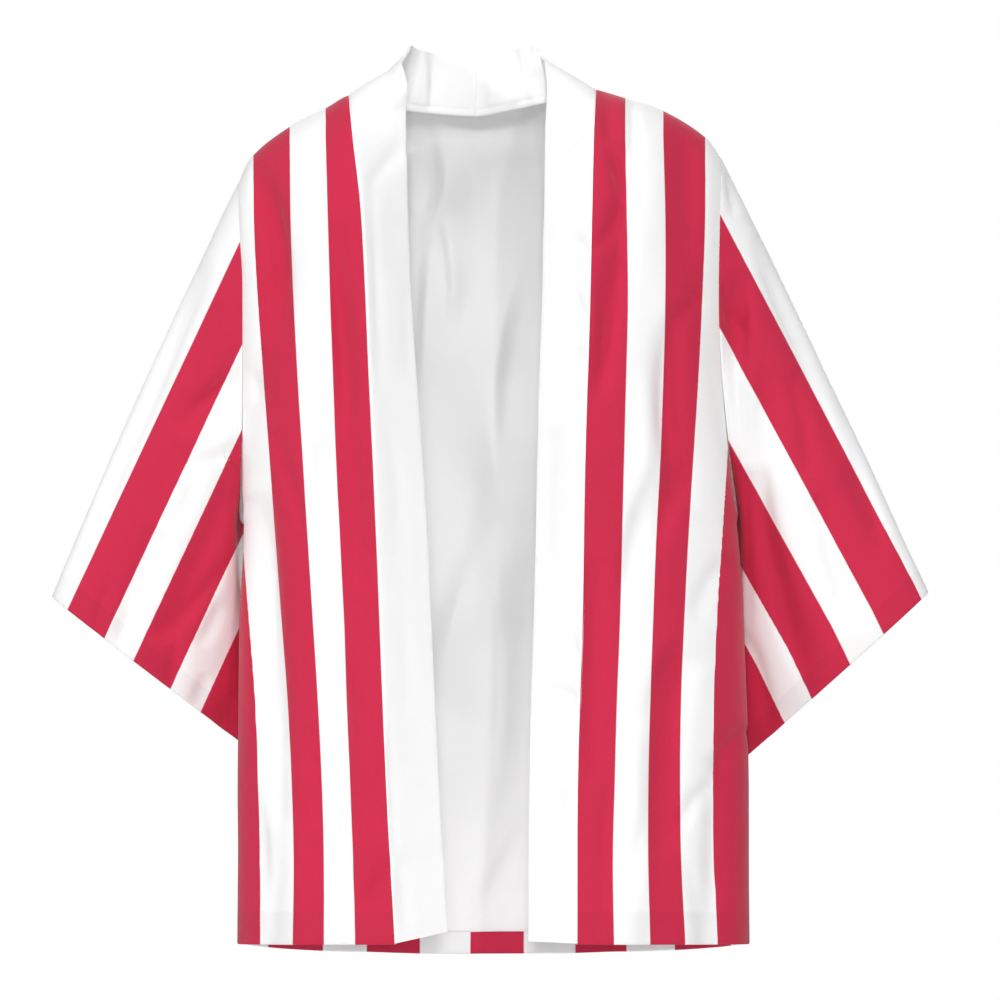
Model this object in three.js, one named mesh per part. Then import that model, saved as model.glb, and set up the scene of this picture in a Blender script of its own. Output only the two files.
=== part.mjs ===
// Kimono shirt, filled out as it is worn, with nobody in it. Millimetres, +Z up.
// The wearer faces -Y, so their left side is at +X. The origin is midway between the neck
// points, at the height of the shoulder seams, where the wearer holds the garment up.
import * as THREE from "three";

// ---- Driving dimensions -------------------------------------------------------------------

const CLOTH = 1.5; // wall of a panel or sleeve
const BAND_CLOTH = 2.4; // wall of the neckband, which is folded double
const HEM_CLOTH = 1.2; // wall of the turned-up hem
const SEAM_GAP = 0.3;
const BAND_WIDTH = 56;
const HEM_TURN = 20; // height of the turned-up hem
const HEM_SLACK = 1.2; // between the back and its turned-up hem

const ARMPIT_Z = -385;
const SIDE_HEM_Z = -763;
const FRONT_HEM_Z = -757;
const BACK_HEM_Z = -776;
const SHOULDER_ROUND = 120; // drop below the shoulder at which a panel has its full depth
const ARMHOLE_HALF_DEPTH = 58;
const SIDE_SEAM_Y = 30; // the side seams lie a little behind the garment's widest line
const CUFF_HALF_DEPTH = 46;
const ARMPIT_EASE = 3; // extra room where the sleeve folds down outside the armpit
const UNDERARM_SWING = 6; // how far the underarm hangs out from the garment's side
const SQUARENESS = 2.3; // 2 is an ellipse in plan, more is squarer
const CENTRE_BACK_X = -4;
const SEAM_RAMP = 15; // folds fade out this close to a seam that two panels share
const FIRST_TURN = 0.015; // share of the armhole's turn at which a panel's edge starts
const ARMPIT_SHARPNESS = 6; // more keeps the extra room closer to the lowest point

// Half-depths of the garment in plan, at the middle of each face
const FRONT_DEPTH = [
  { z: 0, depth: 104 },
  { z: -230, depth: 114 },
  { z: -480, depth: 109 },
  { z: -763, depth: 115 },
];
const BACK_DEPTH = [
  { z: 0, depth: 108 },
  { z: -180, depth: 116 },
  { z: -430, depth: 105 },
  { z: -776, depth: 115 },
];

// Height of the shoulder ridge across the whole garment, and of the back neckline below it
const RIDGE = [
  { x: -217, z: -80 },
  { x: -205, z: -56 },
  { x: -170, z: -28 },
  { x: -137, z: -11 },
  { x: -117, z: 0 },
  { x: -60, z: 8 },
  { x: 50, z: 11 },
  { x: 105, z: 5 },
  { x: 130, z: -2 },
  { x: 166, z: -14 },
  { x: 204, z: -38 },
  { x: 218, z: -57 },
];
const NECKLINE = [
  { x: -117, z: 0 },
  { x: -100, z: -1 },
  { x: -85, z: -3 },
  { x: -66, z: -10 },
  { x: -28, z: -14 },
  { x: 0, z: -15 },
  { x: 24, z: -11 },
  { x: 59, z: -4 },
  { x: 85, z: 2 },
  { x: 105, z: 5 },
];

// Each side's outline from the front, its band seam, and the corners of its cuff.
// x is the distance from the middle of the neck.
const SIDES = {
  right: {
    sign: -1,
    neckX: 117,
    outline: [
      { z: -80, x: 217 },
      { z: -128, x: 214 },
      { z: -180, x: 211 },
      { z: -395, x: 213 },
      { z: -480, x: 216 },
      { z: -763, x: 217 },
    ],
    bandSeam: [
      { z: 0, x: 117 },
      { z: -40, x: 112.5 },
      { z: -112, x: 104.5 },
      { z: -256, x: 97.7 },
      { z: -400, x: 91 },
      { z: -616, x: 82.2 },
      { z: -763, x: 74.2 },
    ],
    cuffTop: new THREE.Vector3(-383.5, 2, -450),
    cuffLow: new THREE.Vector3(-193, 84, -599),
    sleeveBow: 4,
  },
  left: {
    sign: 1,
    neckX: 105,
    outline: [
      { z: -57, x: 218 },
      { z: -124, x: 215 },
      { z: -213, x: 214.5 },
      { z: -290, x: 220.5 },
      { z: -422, x: 234.5 },
      { z: -500, x: 238.5 },
      { z: -593, x: 242 },
      { z: -763, x: 243.5 },
    ],
    bandSeam: [
      { z: 5, x: 105 },
      { z: -40, x: 102.5 },
      { z: -184, x: 99 },
      { z: -328, x: 94.6 },
      { z: -472, x: 92.2 },
      { z: -616, x: 88 },
      { z: -763, x: 87.5 },
    ],
    cuffTop: new THREE.Vector3(404, 2, -446),
    cuffLow: new THREE.Vector3(218, 84, -616),
    sleeveBow: 2,
  },
};

// How the neckband leaves its seam, from the centre back (stage 0) over the neck point
// (stage 1) to the hem (stage 2). `heading` turns the band's width in plan: 0 points across
// to the other side and 90 to the back. `rise` tips it up from level.
const BAND_STAGES = {
  right: [
    { stage: 0, heading: 90, rise: 74 },
    { stage: 0.33, heading: 80, rise: 73 },
    { stage: 0.5, heading: 50, rise: 75 },
    { stage: 0.67, heading: 25, rise: 68 },
    { stage: 0.83, heading: 11, rise: 52 },
    { stage: 1, heading: 4, rise: 33 },
    { stage: 1.017, heading: 6, rise: 24 },
    { stage: 1.038, heading: 28, rise: 13 },
    { stage: 1.067, heading: 35, rise: 4 },
    { stage: 1.147, heading: 44, rise: 0 },
    { stage: 1.3, heading: 43, rise: 0 },
    { stage: 1.52, heading: 38, rise: 0 },
    { stage: 2, heading: 34, rise: 9 },
  ],
  left: [
    { stage: 0, heading: 90, rise: 74 },
    { stage: 0.33, heading: 78, rise: 68 },
    { stage: 0.5, heading: 57, rise: 66 },
    { stage: 0.67, heading: 43, rise: 61 },
    { stage: 0.83, heading: 42, rise: 42 },
    { stage: 1, heading: 24, rise: 29 },
    { stage: 1.023, heading: 37, rise: 20 },
    { stage: 1.073, heading: 41, rise: 4 },
    { stage: 1.153, heading: 42, rise: 0 },
    { stage: 2, heading: 41, rise: 0 },
  ],
};

// Largest folds, seen from the front. Each is a soft trough along an arc from (x0, z0) to
// (x1, z1), bowed towards +X by `bow`; a negative depth is a ridge.
const FOLDS = {
  front_right: [
    { x0: -202, z0: -62, x1: -180, z1: -225, bow: 9, width: 12, depth: 7 },
    { x0: -130, z0: -120, x1: -106, z1: -445, bow: 0, width: 11, depth: 6 },
    { x0: -199, z0: -360, x1: -181, z1: -655, bow: 4, width: 14, depth: 10 },
    { x0: -133, z0: -478, x1: -121, z1: -668, bow: 3, width: 11, depth: 6 },
    { x0: -158, z0: -600, x1: -160, z1: -800, bow: 0, width: 14, depth: -6 },
  ],
  front_left: [
    { x0: 128, z0: -55, x1: 103, z1: -275, bow: 8, width: 10, depth: 6 },
    { x0: 104, z0: -415, x1: 102, z1: -612, bow: 0, width: 10, depth: 5 },
    { x0: 172, z0: -205, x1: 181, z1: -370, bow: -6, width: 13, depth: 8 },
    { x0: 184, z0: -500, x1: 164, z1: -680, bow: -10, width: 13, depth: 8 },
    { x0: 214, z0: -590, x1: 208, z1: -800, bow: 0, width: 12, depth: 7 },
    { x0: 140, z0: -560, x1: 134, z1: -800, bow: 0, width: 14, depth: -5 },
  ],
  back: [
    { x0: -44, z0: -20, x1: -56, z1: -112, bow: 12, width: 11, depth: 6 },
    { x0: -49, z0: -120, x1: -53, z1: -255, bow: -5, width: 11, depth: 6 },
    { x0: 10, z0: -318, x1: -30, z1: -525, bow: -12, width: 14, depth: 10 },
    { x0: 16, z0: -215, x1: 20, z1: -640, bow: 0, width: 20, depth: 6 },
    { x0: 50, z0: -615, x1: 0, z1: -800, bow: 0, width: 16, depth: 9 },
    { x0: 120, z0: -170, x1: 134, z1: -520, bow: 6, width: 18, depth: 8 },
    { x0: -128, z0: -210, x1: -140, z1: -600, bow: -8, width: 18, depth: 9 },
    { x0: -96, z0: -540, x1: -104, z1: -820, bow: 0, width: 20, depth: -8 },
    { x0: 112, z0: -560, x1: 122, z1: -820, bow: 0, width: 20, depth: -8 },
  ],
  sleeve_right_front: [
    { x0: -250, z0: -145, x1: -355, z1: -385, bow: 4, width: 15, depth: 8 },
    { x0: -212, z0: -225, x1: -272, z1: -300, bow: 6, width: 12, depth: 6 },
    { x0: -222, z0: -330, x1: -288, z1: -490, bow: 6, width: 13, depth: 7 },
    { x0: -290, z0: -390, x1: -326, z1: -500, bow: 0, width: 12, depth: 6 },
  ],
  sleeve_right_back: [
    { x0: -238, z0: -130, x1: -330, z1: -350, bow: -6, width: 16, depth: 7 },
    { x0: -222, z0: -300, x1: -270, z1: -520, bow: 8, width: 14, depth: 8 },
    { x0: -280, z0: -330, x1: -340, z1: -470, bow: 0, width: 12, depth: 5 },
  ],
  sleeve_left_front: [
    { x0: 228, z0: -160, x1: 236, z1: -330, bow: -4, width: 11, depth: 7 },
    { x0: 262, z0: -150, x1: 368, z1: -390, bow: -4, width: 16, depth: 6 },
    { x0: 244, z0: -340, x1: 300, z1: -520, bow: -6, width: 13, depth: 6 },
    { x0: 300, z0: -360, x1: 346, z1: -480, bow: 0, width: 12, depth: 5 },
  ],
  sleeve_left_back: [
    { x0: 240, z0: -120, x1: 340, z1: -350, bow: 6, width: 16, depth: 7 },
    { x0: 240, z0: -330, x1: 292, z1: -530, bow: -8, width: 14, depth: 8 },
  ],
};

// Numbers of steps in the walls
const ARMHOLE_ROWS = 12;
const LOWER_ROWS = 13;
const ROWS = ARMHOLE_ROWS + LOWER_ROWS;
const FRONT_COLUMNS = 11;
const SHOULDER_COLUMNS = 7;
const NECK_COLUMNS = 6;
const SLEEVE_STEPS = 12;
const BAND_COLUMNS = 3;
const SHOULDER_FADE_ROWS = 4; // folds reach their full depth this far below the shoulder
const SLEEVE_FADE_STEPS = 2; // and this far along the sleeve
const SETTLING_PASSES = 6; // height and width of a front depend on each other

const RED = 0xd2304f;
const WHITE = 0xf3f1ee;

// ---- Curves -------------------------------------------------------------------------------

const { lerp, clamp, degToRad } = THREE.MathUtils;

// A smooth curve through a table's rows: the `to` column as a function of the `from` column
function curve(table, from, to) {
  const rows = [...table].sort((a, b) => a[from] - b[from]);
  const last = rows.length - 1;
  const slope = (i) => {
    const before = rows[Math.max(i - 1, 0)];
    const after = rows[Math.min(i + 1, last)];
    return (after[to] - before[to]) / (after[from] - before[from]);
  };
  return (at) => {
    if (at <= rows[0][from]) return rows[0][to];
    if (at >= rows[last][from]) return rows[last][to];
    const i = rows.findIndex((row) => row[from] > at) - 1;
    const span = rows[i + 1][from] - rows[i][from];
    const t = (at - rows[i][from]) / span;
    const rest = 1 - t;
    const start = (rows[i][to] * (1 + 2 * t) + slope(i) * span * t) * rest * rest;
    const end = (rows[i + 1][to] * (3 - 2 * t) - slope(i + 1) * span * rest) * t * t;
    return start + end;
  };
}

const ease = (t) => THREE.MathUtils.smoothstep(t, 0, 1);
const ridge = curve(RIDGE, "x", "z");
const neckline = curve(NECKLINE, "x", "z");
const frontDepth = curve(FRONT_DEPTH, "z", "depth");
const backDepth = curve(BACK_DEPTH, "z", "depth");
for (const [name, side] of Object.entries(SIDES)) {
  side.outlineAt = curve(side.outline, "z", "x");
  side.bandSeamAt = curve(side.bandSeam, "z", "x");
  side.heading = curve(BAND_STAGES[name], "stage", "heading");
  side.rise = curve(BAND_STAGES[name], "stage", "rise");
}

// Share of the full depth at a drop below the ridge, round as a quarter of an ellipse
function rounding(drop) {
  const t = clamp(drop / SHOULDER_ROUND, 0, 1);
  return Math.sqrt(1 - (1 - t) * (1 - t));
}

// Half-depth of the front (face -1) or back (face 1) at a place
function depthAt(face, x, z) {
  const full = face < 0 ? frontDepth(z) : backDepth(z);
  return full * rounding(ridge(x) - z);
}

// Plan sections are superellipses: `angle` runs from the side (0) to the middle (90 degrees)
const across = (angle) => Math.pow(Math.abs(Math.cos(angle)), 2 / SQUARENESS);
const outwards = (angle) => Math.pow(Math.abs(Math.sin(angle)), 2 / SQUARENESS);
const angleAcross = (share) => Math.acos(Math.pow(clamp(share, 0, 1), SQUARENESS / 2));
const angleOutwards = (share) => Math.asin(Math.pow(clamp(share, 0, 1), SQUARENESS / 2));

// Depth of one panel's folds at a point seen from the front
function foldDepth(folds, x, z) {
  let total = 0;
  for (const f of folds) {
    const dx = f.x1 - f.x0;
    const dz = f.z1 - f.z0;
    const length = Math.hypot(dx, dz);
    const t = ((x - f.x0) * dx + (z - f.z0) * dz) / (length * length);
    if (t <= 0 || t >= 1) continue;
    const bowed = 4 * t * (1 - t);
    const sideways = ((x - f.x0) * -dz + (z - f.z0) * dx) / length;
    const off = (sideways - f.bow * bowed) / f.width;
    total += f.depth * Math.sqrt(bowed) * Math.exp(-off * off);
  }
  return total;
}

// ---- Panels -------------------------------------------------------------------------------

// Where a panel ends at a row: round the armhole, then down the side seam
function panelEdge(side, face, row) {
  const turn = Math.PI * clamp(row / ARMHOLE_ROWS, FIRST_TURN, 1);
  const share = (1 - Math.cos(turn)) / 2;
  const lower = Math.max(row - ARMHOLE_ROWS, 0) / LOWER_ROWS;
  const z = lerp(lerp(side.outline[0].z, ARMPIT_Z, share), SIDE_HEM_Z, lower);
  const y = SIDE_SEAM_Y * ease(share) + face * ARMHOLE_HALF_DEPTH * Math.sin(turn);
  const outline = side.outlineAt(z);
  const own = y * face > 0 ? face : -face;
  const angle = angleOutwards(Math.abs(y) / depthAt(own, side.sign * outline, z));
  const closing = share > 0.5 ? (1 - Math.sin(turn)) ** 2 : 0;
  const x = outline * lerp(1, across(angle), closing);
  return { angle: own === face ? angle : -angle, reach: x / across(angle) };
}

// Height of a row, which starts at the top of its column
function rowHeight(row, inward, topZ, hemZ) {
  const turn = Math.PI * clamp(row / ARMHOLE_ROWS, 0, 1);
  const atEdge = (1 - Math.cos(turn)) / 2;
  const atMiddle = 1 - Math.cos(turn / 2);
  const upper = lerp(topZ, ARMPIT_Z, lerp(atEdge, atMiddle, ease(2 * inward)));
  const lower = Math.max(row - ARMHOLE_ROWS, 0) / LOWER_ROWS;
  return lerp(upper, hemZ, lower);
}

function surfacePoint(side, face, reach, angle, z) {
  const x = side.sign * reach * across(angle);
  const own = angle >= 0 ? face : -face;
  return new THREE.Vector3(x, own * depthAt(own, x, z) * outwards(angle), z);
}

// Share of the way from the panel's edge to the middle of its face
const middling = (edge, angle) =>
  (Math.sin(angle) - Math.sin(edge.angle)) / (1 - Math.sin(edge.angle));

function frontPoint(side, row, column) {
  const inward = column / FRONT_COLUMNS;
  const edge = panelEdge(side, -1, row);
  let z = ARMPIT_Z;
  let angle = edge.angle;
  for (let pass = 0; pass < SETTLING_PASSES; pass++) {
    angle = lerp(edge.angle, angleAcross(side.bandSeamAt(z) / edge.reach), inward);
    const hem = lerp(SIDE_HEM_Z, FRONT_HEM_Z, middling(edge, angle));
    z = rowHeight(row, inward, ridge(side.sign * edge.reach * across(angle)), hem);
  }
  return surfacePoint(side, -1, edge.reach, angle, z);
}

function backPoint(side, row, inward, x) {
  const edge = panelEdge(side, 1, row);
  const neckAngle = angleAcross(side.neckX / edge.reach);
  const onShoulder = x === undefined;
  const angle = onShoulder
    ? lerp(edge.angle, neckAngle, inward)
    : angleAcross(Math.abs(x) / edge.reach);
  const place = side.sign * edge.reach * across(angle);
  const top = onShoulder ? ridge(place) : neckline(place);
  const hem = lerp(SIDE_HEM_Z, BACK_HEM_Z, middling(edge, angle));
  return surfacePoint(side, 1, edge.reach, angle, rowHeight(row, inward, top, hem));
}

// The back runs from the right edge to the left one, by way of the two neck points
function backRow(row) {
  const { right, left } = SIDES;
  const points = [];
  for (let i = 0; i < SHOULDER_COLUMNS; i++) {
    points.push(backPoint(right, row, i / SHOULDER_COLUMNS));
  }
  for (let i = -NECK_COLUMNS; i <= NECK_COLUMNS; i++) {
    const neck = i < 0 ? -right.neckX : left.neckX;
    const x = lerp(CENTRE_BACK_X, neck, Math.abs(i) / NECK_COLUMNS);
    points.push(backPoint(x < 0 ? right : left, row, 1, x));
  }
  for (let i = SHOULDER_COLUMNS - 1; i >= 0; i--) {
    points.push(backPoint(left, row, i / SHOULDER_COLUMNS));
  }
  return points;
}

// A list made by a rule for each place in it; a grid is a list of rows
function gridOf(count, rule) {
  return Array.from({ length: count }, (_, i) => rule(i));
}

const difference = (a, b) => new THREE.Vector3().subVectors(a, b);

// Unit normals of a grid, pointing away from `centre`; a ring's rows close on themselves
function gridNormals(grid, ring, centre) {
  const rows = grid.length;
  const columns = grid[0].length;
  const normals = grid.map((points, i) =>
    points.map((_, j) => {
      const before = ring ? (j + columns - 1) % columns : Math.max(j - 1, 0);
      const after = ring ? (j + 1) % columns : Math.min(j + 1, columns - 1);
      const along = difference(points[after], points[before]);
      const down = difference(grid[Math.min(i + 1, rows - 1)][j], grid[Math.max(i - 1, 0)][j]);
      return along.cross(down).normalize();
    }),
  );
  let facing = 0;
  grid.forEach((points, i) =>
    points.forEach((point, j) => {
      const away = difference(point, centre);
      away.z = 0;
      facing += away.dot(normals[i][j]);
    }),
  );
  if (facing < 0) normals.flat().forEach((normal) => normal.negate());
  return normals;
}

// Moves a grid's points in by `depth(point, row, column)`
function fold(grid, ring, centre, depth) {
  const normals = gridNormals(grid, ring, centre);
  grid.forEach((points, i) =>
    points.forEach((point, j) => point.addScaledVector(normals[i][j], -depth(point, i, j))),
  );
}

// ---- Seams --------------------------------------------------------------------------------

// Direction from an edge point into its piece, square to the edge
function intoPiece(edgePoint, inner, before, after) {
  const tangent = difference(after, before).normalize();
  const into = difference(inner, edgePoint);
  return into.addScaledVector(tangent, -into.dot(tangent)).normalize();
}

// How far the second piece starts from the seam, so that walls of the given thickness that
// meet at any angle stay a seam's gap apart. `reach` leads out of the first piece.
function seamShift(reach, into, thickness) {
  const bend = difference(into, reach).length() / 2;
  return new THREE.Vector3()
    .addVectors(reach, into)
    .normalize()
    .multiplyScalar(SEAM_GAP + thickness * bend);
}

// Draws one edge point back from a seam that lies in a plane square to `axis`
function drawBack(point, normal, axis, seam, toward, thickness) {
  point[axis] = seam + (toward * (SEAM_GAP + thickness * Math.abs(normal[axis]))) / 2;
}

function openShoulder(grid, face, columns) {
  const top = gridNormals(grid, false, BODY_CENTRE)[0];
  for (const column of columns) drawBack(grid[0][column], top[column], "y", 0, face, CLOTH);
}

// Draws a front and the back away from their side seam, by equal amounts
function openSideSeam(front, back, edge, inner) {
  const seam = back.map((points) => points[edge].clone());
  for (let row = ARMHOLE_ROWS; row <= ROWS; row++) {
    const before = seam[Math.max(row - 1, ARMHOLE_ROWS)];
    const after = seam[Math.min(row + 1, ROWS)];
    const intoFront = intoPiece(seam[row], front[row][1], before, after);
    const intoBack = intoPiece(seam[row], back[row][inner], before, after);
    const bend = new THREE.Vector3().addVectors(intoFront, intoBack).length() / 2;
    const draw = (SEAM_GAP + CLOTH * bend) / 2;
    front[row][0].addScaledVector(intoFront, draw);
    back[row][edge].addScaledVector(intoBack, draw);
  }
}

// ---- Walls --------------------------------------------------------------------------------

// A closed wall of even thickness about a grid of points
function wall(grid, thickness, ring, centre) {
  const normals = gridNormals(grid, ring, centre);
  const rows = grid.length;
  const columns = grid[0].length;
  const positions = [];
  for (const face of [1, -1]) {
    grid.forEach((points, i) =>
      points.forEach((point, j) => {
        const moved = point.clone().addScaledVector(normals[i][j], (face * thickness) / 2);
        positions.push(moved.x, moved.y, moved.z);
      }),
    );
  }
  const outer = (i, j) => i * columns + (j % columns);
  const inner = (i, j) => rows * columns + outer(i, j);
  const index = [];
  const quad = (a, b, c, d) => index.push(a, b, c, a, c, d);
  const spans = ring ? columns : columns - 1;
  for (let i = 0; i < rows - 1; i++) {
    for (let j = 0; j < spans; j++) {
      quad(outer(i, j), outer(i, j + 1), outer(i + 1, j + 1), outer(i + 1, j));
      quad(inner(i, j), inner(i + 1, j), inner(i + 1, j + 1), inner(i, j + 1));
    }
  }
  for (let j = 0; j < spans; j++) {
    quad(outer(0, j), inner(0, j), inner(0, j + 1), outer(0, j + 1));
    quad(outer(rows - 1, j), outer(rows - 1, j + 1), inner(rows - 1, j + 1), inner(rows - 1, j));
  }
  for (let i = 0; !ring && i < rows - 1; i++) {
    quad(outer(i, 0), outer(i + 1, 0), inner(i + 1, 0), inner(i, 0));
    quad(outer(i, spans), inner(i, spans), inner(i + 1, spans), outer(i + 1, spans));
  }
  return solid(positions, index);
}

// A geometry with its faces pointing out
function solid(positions, index) {
  const at = (i) => new THREE.Vector3().fromArray(positions, 3 * i);
  let volume = 0;
  for (let i = 0; i < index.length; i += 3) {
    volume += at(index[i]).dot(at(index[i + 1]).cross(at(index[i + 2])));
  }
  const faces = volume < 0 ? [...index].reverse() : index;
  const geometry = new THREE.BufferGeometry();
  geometry.setAttribute("position", new THREE.Float32BufferAttribute(positions, 3));
  geometry.setIndex(faces);
  geometry.computeVertexNormals();
  return geometry;
}

// ---- The garment --------------------------------------------------------------------------

const BODY_CENTRE = new THREE.Vector3(0, 0, 0);

// Folds fade out at the shoulder and at the edges that other pieces are sewn to
function foldPanel(grid, folds, edges) {
  const fades = grid.map((points, row) =>
    points.map((point) => {
      const toEdge = edges.map((column) => point.distanceTo(points[column]));
      return ease(Math.min(...toEdge) / SEAM_RAMP) * ease(row / SHOULDER_FADE_ROWS);
    }),
  );
  fold(grid, false, BODY_CENTRE, (p, i, j) => fades[i][j] * foldDepth(folds, p.x, p.z));
}

function frontGrid(side, folds) {
  const grid = gridOf(ROWS + 1, (row) =>
    gridOf(FRONT_COLUMNS + 1, (column) => frontPoint(side, row, column)),
  );
  foldPanel(grid, folds, [0]);
  return grid;
}

function backGrid(folds) {
  const grid = gridOf(ROWS + 1, backRow);
  foldPanel(grid, folds, [0, grid[0].length - 1]);
  return grid;
}

// The armhole as a ring: down the front panel's edge and up the back panel's
function armholeRing(front, back, backEdge) {
  const ring = [];
  for (let row = 0; row <= ARMHOLE_ROWS; row++) ring.push({ grid: front, row, column: 0 });
  for (let row = ARMHOLE_ROWS - 1; row > 0; row--) {
    ring.push({ grid: back, row, column: backEdge });
  }
  return ring;
}

function sleevePoint(side, start, turn, share) {
  const middle = side.cuffTop.clone().lerp(side.cuffLow, 0.5);
  const half = side.cuffTop.clone().sub(middle);
  const cuff = middle.clone().addScaledVector(half, Math.cos(turn));
  cuff.y -= CUFF_HALF_DEPTH * Math.sin(turn);
  const point = start.clone().lerp(cuff, share);
  const bow = side.sleeveBow * Math.sin(Math.PI * share) * Math.max(Math.cos(turn), 0);
  const low = ((1 - Math.cos(turn)) / 2) ** 2;
  const swing = UNDERARM_SWING * Math.sin(Math.PI * Math.sqrt(share)) * low;
  point.x += side.sign * (bow + swing);
  return point;
}

function sleeveGrid(side, front, back, backEdge, foldsOf) {
  const ring = armholeRing(front, back, backEdge);
  const count = ring.length;
  const turns = ring.map((_, i) => (2 * Math.PI * i) / count);
  const starts = ring.map(({ grid, row, column }) => grid[row][column].clone());
  const make = (from) =>
    gridOf(SLEEVE_STEPS + 1, (step) =>
      from.map((start, i) => sleevePoint(side, start, turns[i], step / SLEEVE_STEPS)),
    );
  const draft = make(starts);
  const shifted = starts.map((start, i) => {
    const before = starts[(i + count - 1) % count];
    const after = starts[(i + 1) % count];
    const into = intoPiece(start, draft[1][i], before, after);
    const reach = new THREE.Vector3();
    for (const { grid, column } of [ring[i], i % ARMHOLE_ROWS ? ring[i] : ring[count - 1]]) {
      const inner = grid[ring[i].row][column ? column - 1 : 1];
      reach.sub(intoPiece(start, inner, before, after));
    }
    const shift = start.clone().add(seamShift(reach.normalize(), into, CLOTH));
    shift.x += side.sign * ARMPIT_EASE * ((1 - Math.cos(turns[i])) / 2) ** ARMPIT_SHARPNESS;
    return shift;
  });
  const grid = make(shifted);
  const centre = side.cuffTop.clone().lerp(starts[ARMHOLE_ROWS], 0.5);
  fold(grid, true, centre, (p, i, j) => {
    const sine = Math.sin(turns[j]);
    const fade = ease(i / SLEEVE_FADE_STEPS) * Math.min(1, 2 * Math.abs(sine));
    return fade * foldDepth(foldsOf(sine), p.x, p.z);
  });
  return { grid, centre };
}

// The band's half on one side: from the centre back, over the neck point, down the front
function bandGrid(side, front, back) {
  const centreColumn = SHOULDER_COLUMNS + NECK_COLUMNS;
  const stations = [];
  for (let i = 0; i < NECK_COLUMNS; i++) {
    const column = centreColumn + side.sign * i;
    stations.push({ seam: back[0][column], inner: back[1][column], stage: i / NECK_COLUMNS });
  }
  const neckZ = ridge(side.sign * side.neckX);
  front.forEach((points) => {
    const seam = points[FRONT_COLUMNS];
    const inner = points[FRONT_COLUMNS - 1];
    stations.push({ seam, inner, stage: 1 + (neckZ - seam.z) / (neckZ - FRONT_HEM_Z) });
  });
  const grid = stations.map(({ seam, inner, stage }, i) => {
    const heading = degToRad(side.heading(stage));
    const rise = degToRad(side.rise(stage));
    const width = new THREE.Vector3(
      -side.sign * Math.cos(heading) * Math.cos(rise),
      Math.sin(heading) * Math.cos(rise),
      Math.sin(rise),
    );
    const before = stations[Math.max(i - 1, 0)].seam;
    const after = stations[Math.min(i + 1, stations.length - 1)].seam;
    const reach = intoPiece(seam, inner, before, after).negate();
    const start = seam.clone().add(seamShift(reach, width, (CLOTH + BAND_CLOTH) / 2));
    return gridOf(BAND_COLUMNS + 1, (column) =>
      start.clone().addScaledVector(width, (BAND_WIDTH * column) / BAND_COLUMNS),
    );
  });
  const centre = gridNormals(grid, false, BODY_CENTRE)[0];
  grid[0].forEach((point, column) =>
    drawBack(point, centre[column], "x", CENTRE_BACK_X, side.sign, BAND_CLOTH),
  );
  return grid;
}

// The turned-up hem lies against the inside of the back, and is made from its points
function hemTurnGrid(back) {
  const normals = gridNormals(back, false, BODY_CENTRE);
  const inset = (CLOTH + HEM_CLOTH) / 2 + HEM_SLACK;
  const low = back[ROWS].map((point, j) => point.clone().addScaledVector(normals[ROWS][j], -inset));
  const high = low.map((point, j) => {
    const above = back[ROWS - 1][j].clone().addScaledVector(normals[ROWS - 1][j], -inset);
    return point.clone().lerp(above, HEM_TURN / (above.z - point.z));
  });
  return [high, low];
}

function mesh(name, geometry, color) {
  const material = new THREE.MeshStandardMaterial({ color, roughness: 0.85, metalness: 0 });
  const piece = new THREE.Mesh(geometry, material);
  piece.name = name;
  return piece;
}

function kimonoShirt() {
  const garment = new THREE.Group();
  garment.name = "kimono_shirt";
  const back = backGrid(FOLDS.back);
  const last = back[0].length - 1;
  const pieces = [];
  for (const [name, side] of Object.entries(SIDES)) {
    const front = frontGrid(side, FOLDS[`front_${name}`]);
    const edge = side.sign < 0 ? 0 : last;
    const foldsOf = (sine) => FOLDS[`sleeve_${name}_${sine > 0 ? "front" : "back"}`];
    const sleeve = sleeveGrid(side, front, back, edge, foldsOf);
    const band = bandGrid(side, front, back);
    pieces.push({ name, front, edge, sleeve, band });
  }
  for (const { front, edge } of pieces) {
    openSideSeam(front, back, edge, edge === 0 ? 1 : edge - 1);
    openShoulder(front, -1, front[0].keys());
    openShoulder(back, 1, gridOf(SHOULDER_COLUMNS + 1, (i) => Math.abs(edge - i)));
  }
  garment.add(mesh("back", wall(back, CLOTH, false, BODY_CENTRE), RED));
  garment.add(mesh("hem_turn_back", wall(hemTurnGrid(back), HEM_CLOTH, false, BODY_CENTRE), RED));
  for (const { name, front, sleeve, band } of pieces) {
    garment.add(mesh(`front_${name}`, wall(front, CLOTH, false, BODY_CENTRE), RED));
    garment.add(mesh(`sleeve_${name}`, wall(sleeve.grid, CLOTH, true, sleeve.centre), RED));
    garment.add(mesh(`band_${name}`, wall(band, BAND_CLOTH, false, BODY_CENTRE), WHITE));
  }
  return garment;
}

export default kimonoShirt();
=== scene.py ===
"""Kimono shirt with a plain neckband, wide sleeves and stripes, sewn from thin cloth."""

import math
from functools import lru_cache
from types import SimpleNamespace

import bpy
import numpy as np
from mathutils import Matrix, Vector, noise


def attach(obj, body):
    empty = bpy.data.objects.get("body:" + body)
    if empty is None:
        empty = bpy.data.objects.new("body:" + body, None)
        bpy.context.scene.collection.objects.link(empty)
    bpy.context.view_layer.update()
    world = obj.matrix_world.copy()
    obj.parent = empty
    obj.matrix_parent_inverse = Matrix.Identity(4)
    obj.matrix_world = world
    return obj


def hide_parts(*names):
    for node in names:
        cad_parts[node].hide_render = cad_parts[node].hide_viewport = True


bl_info = {
    "name": "Kimono Shirt",
    "version": (1, 0, 0),
    "blender": (4, 5, 0),
    "location": "View3D > Sidebar > Kimono Shirt",
    "description": "Builds a striped kimono shirt, filled out as it is worn",
    "category": "Add Mesh",
}

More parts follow.
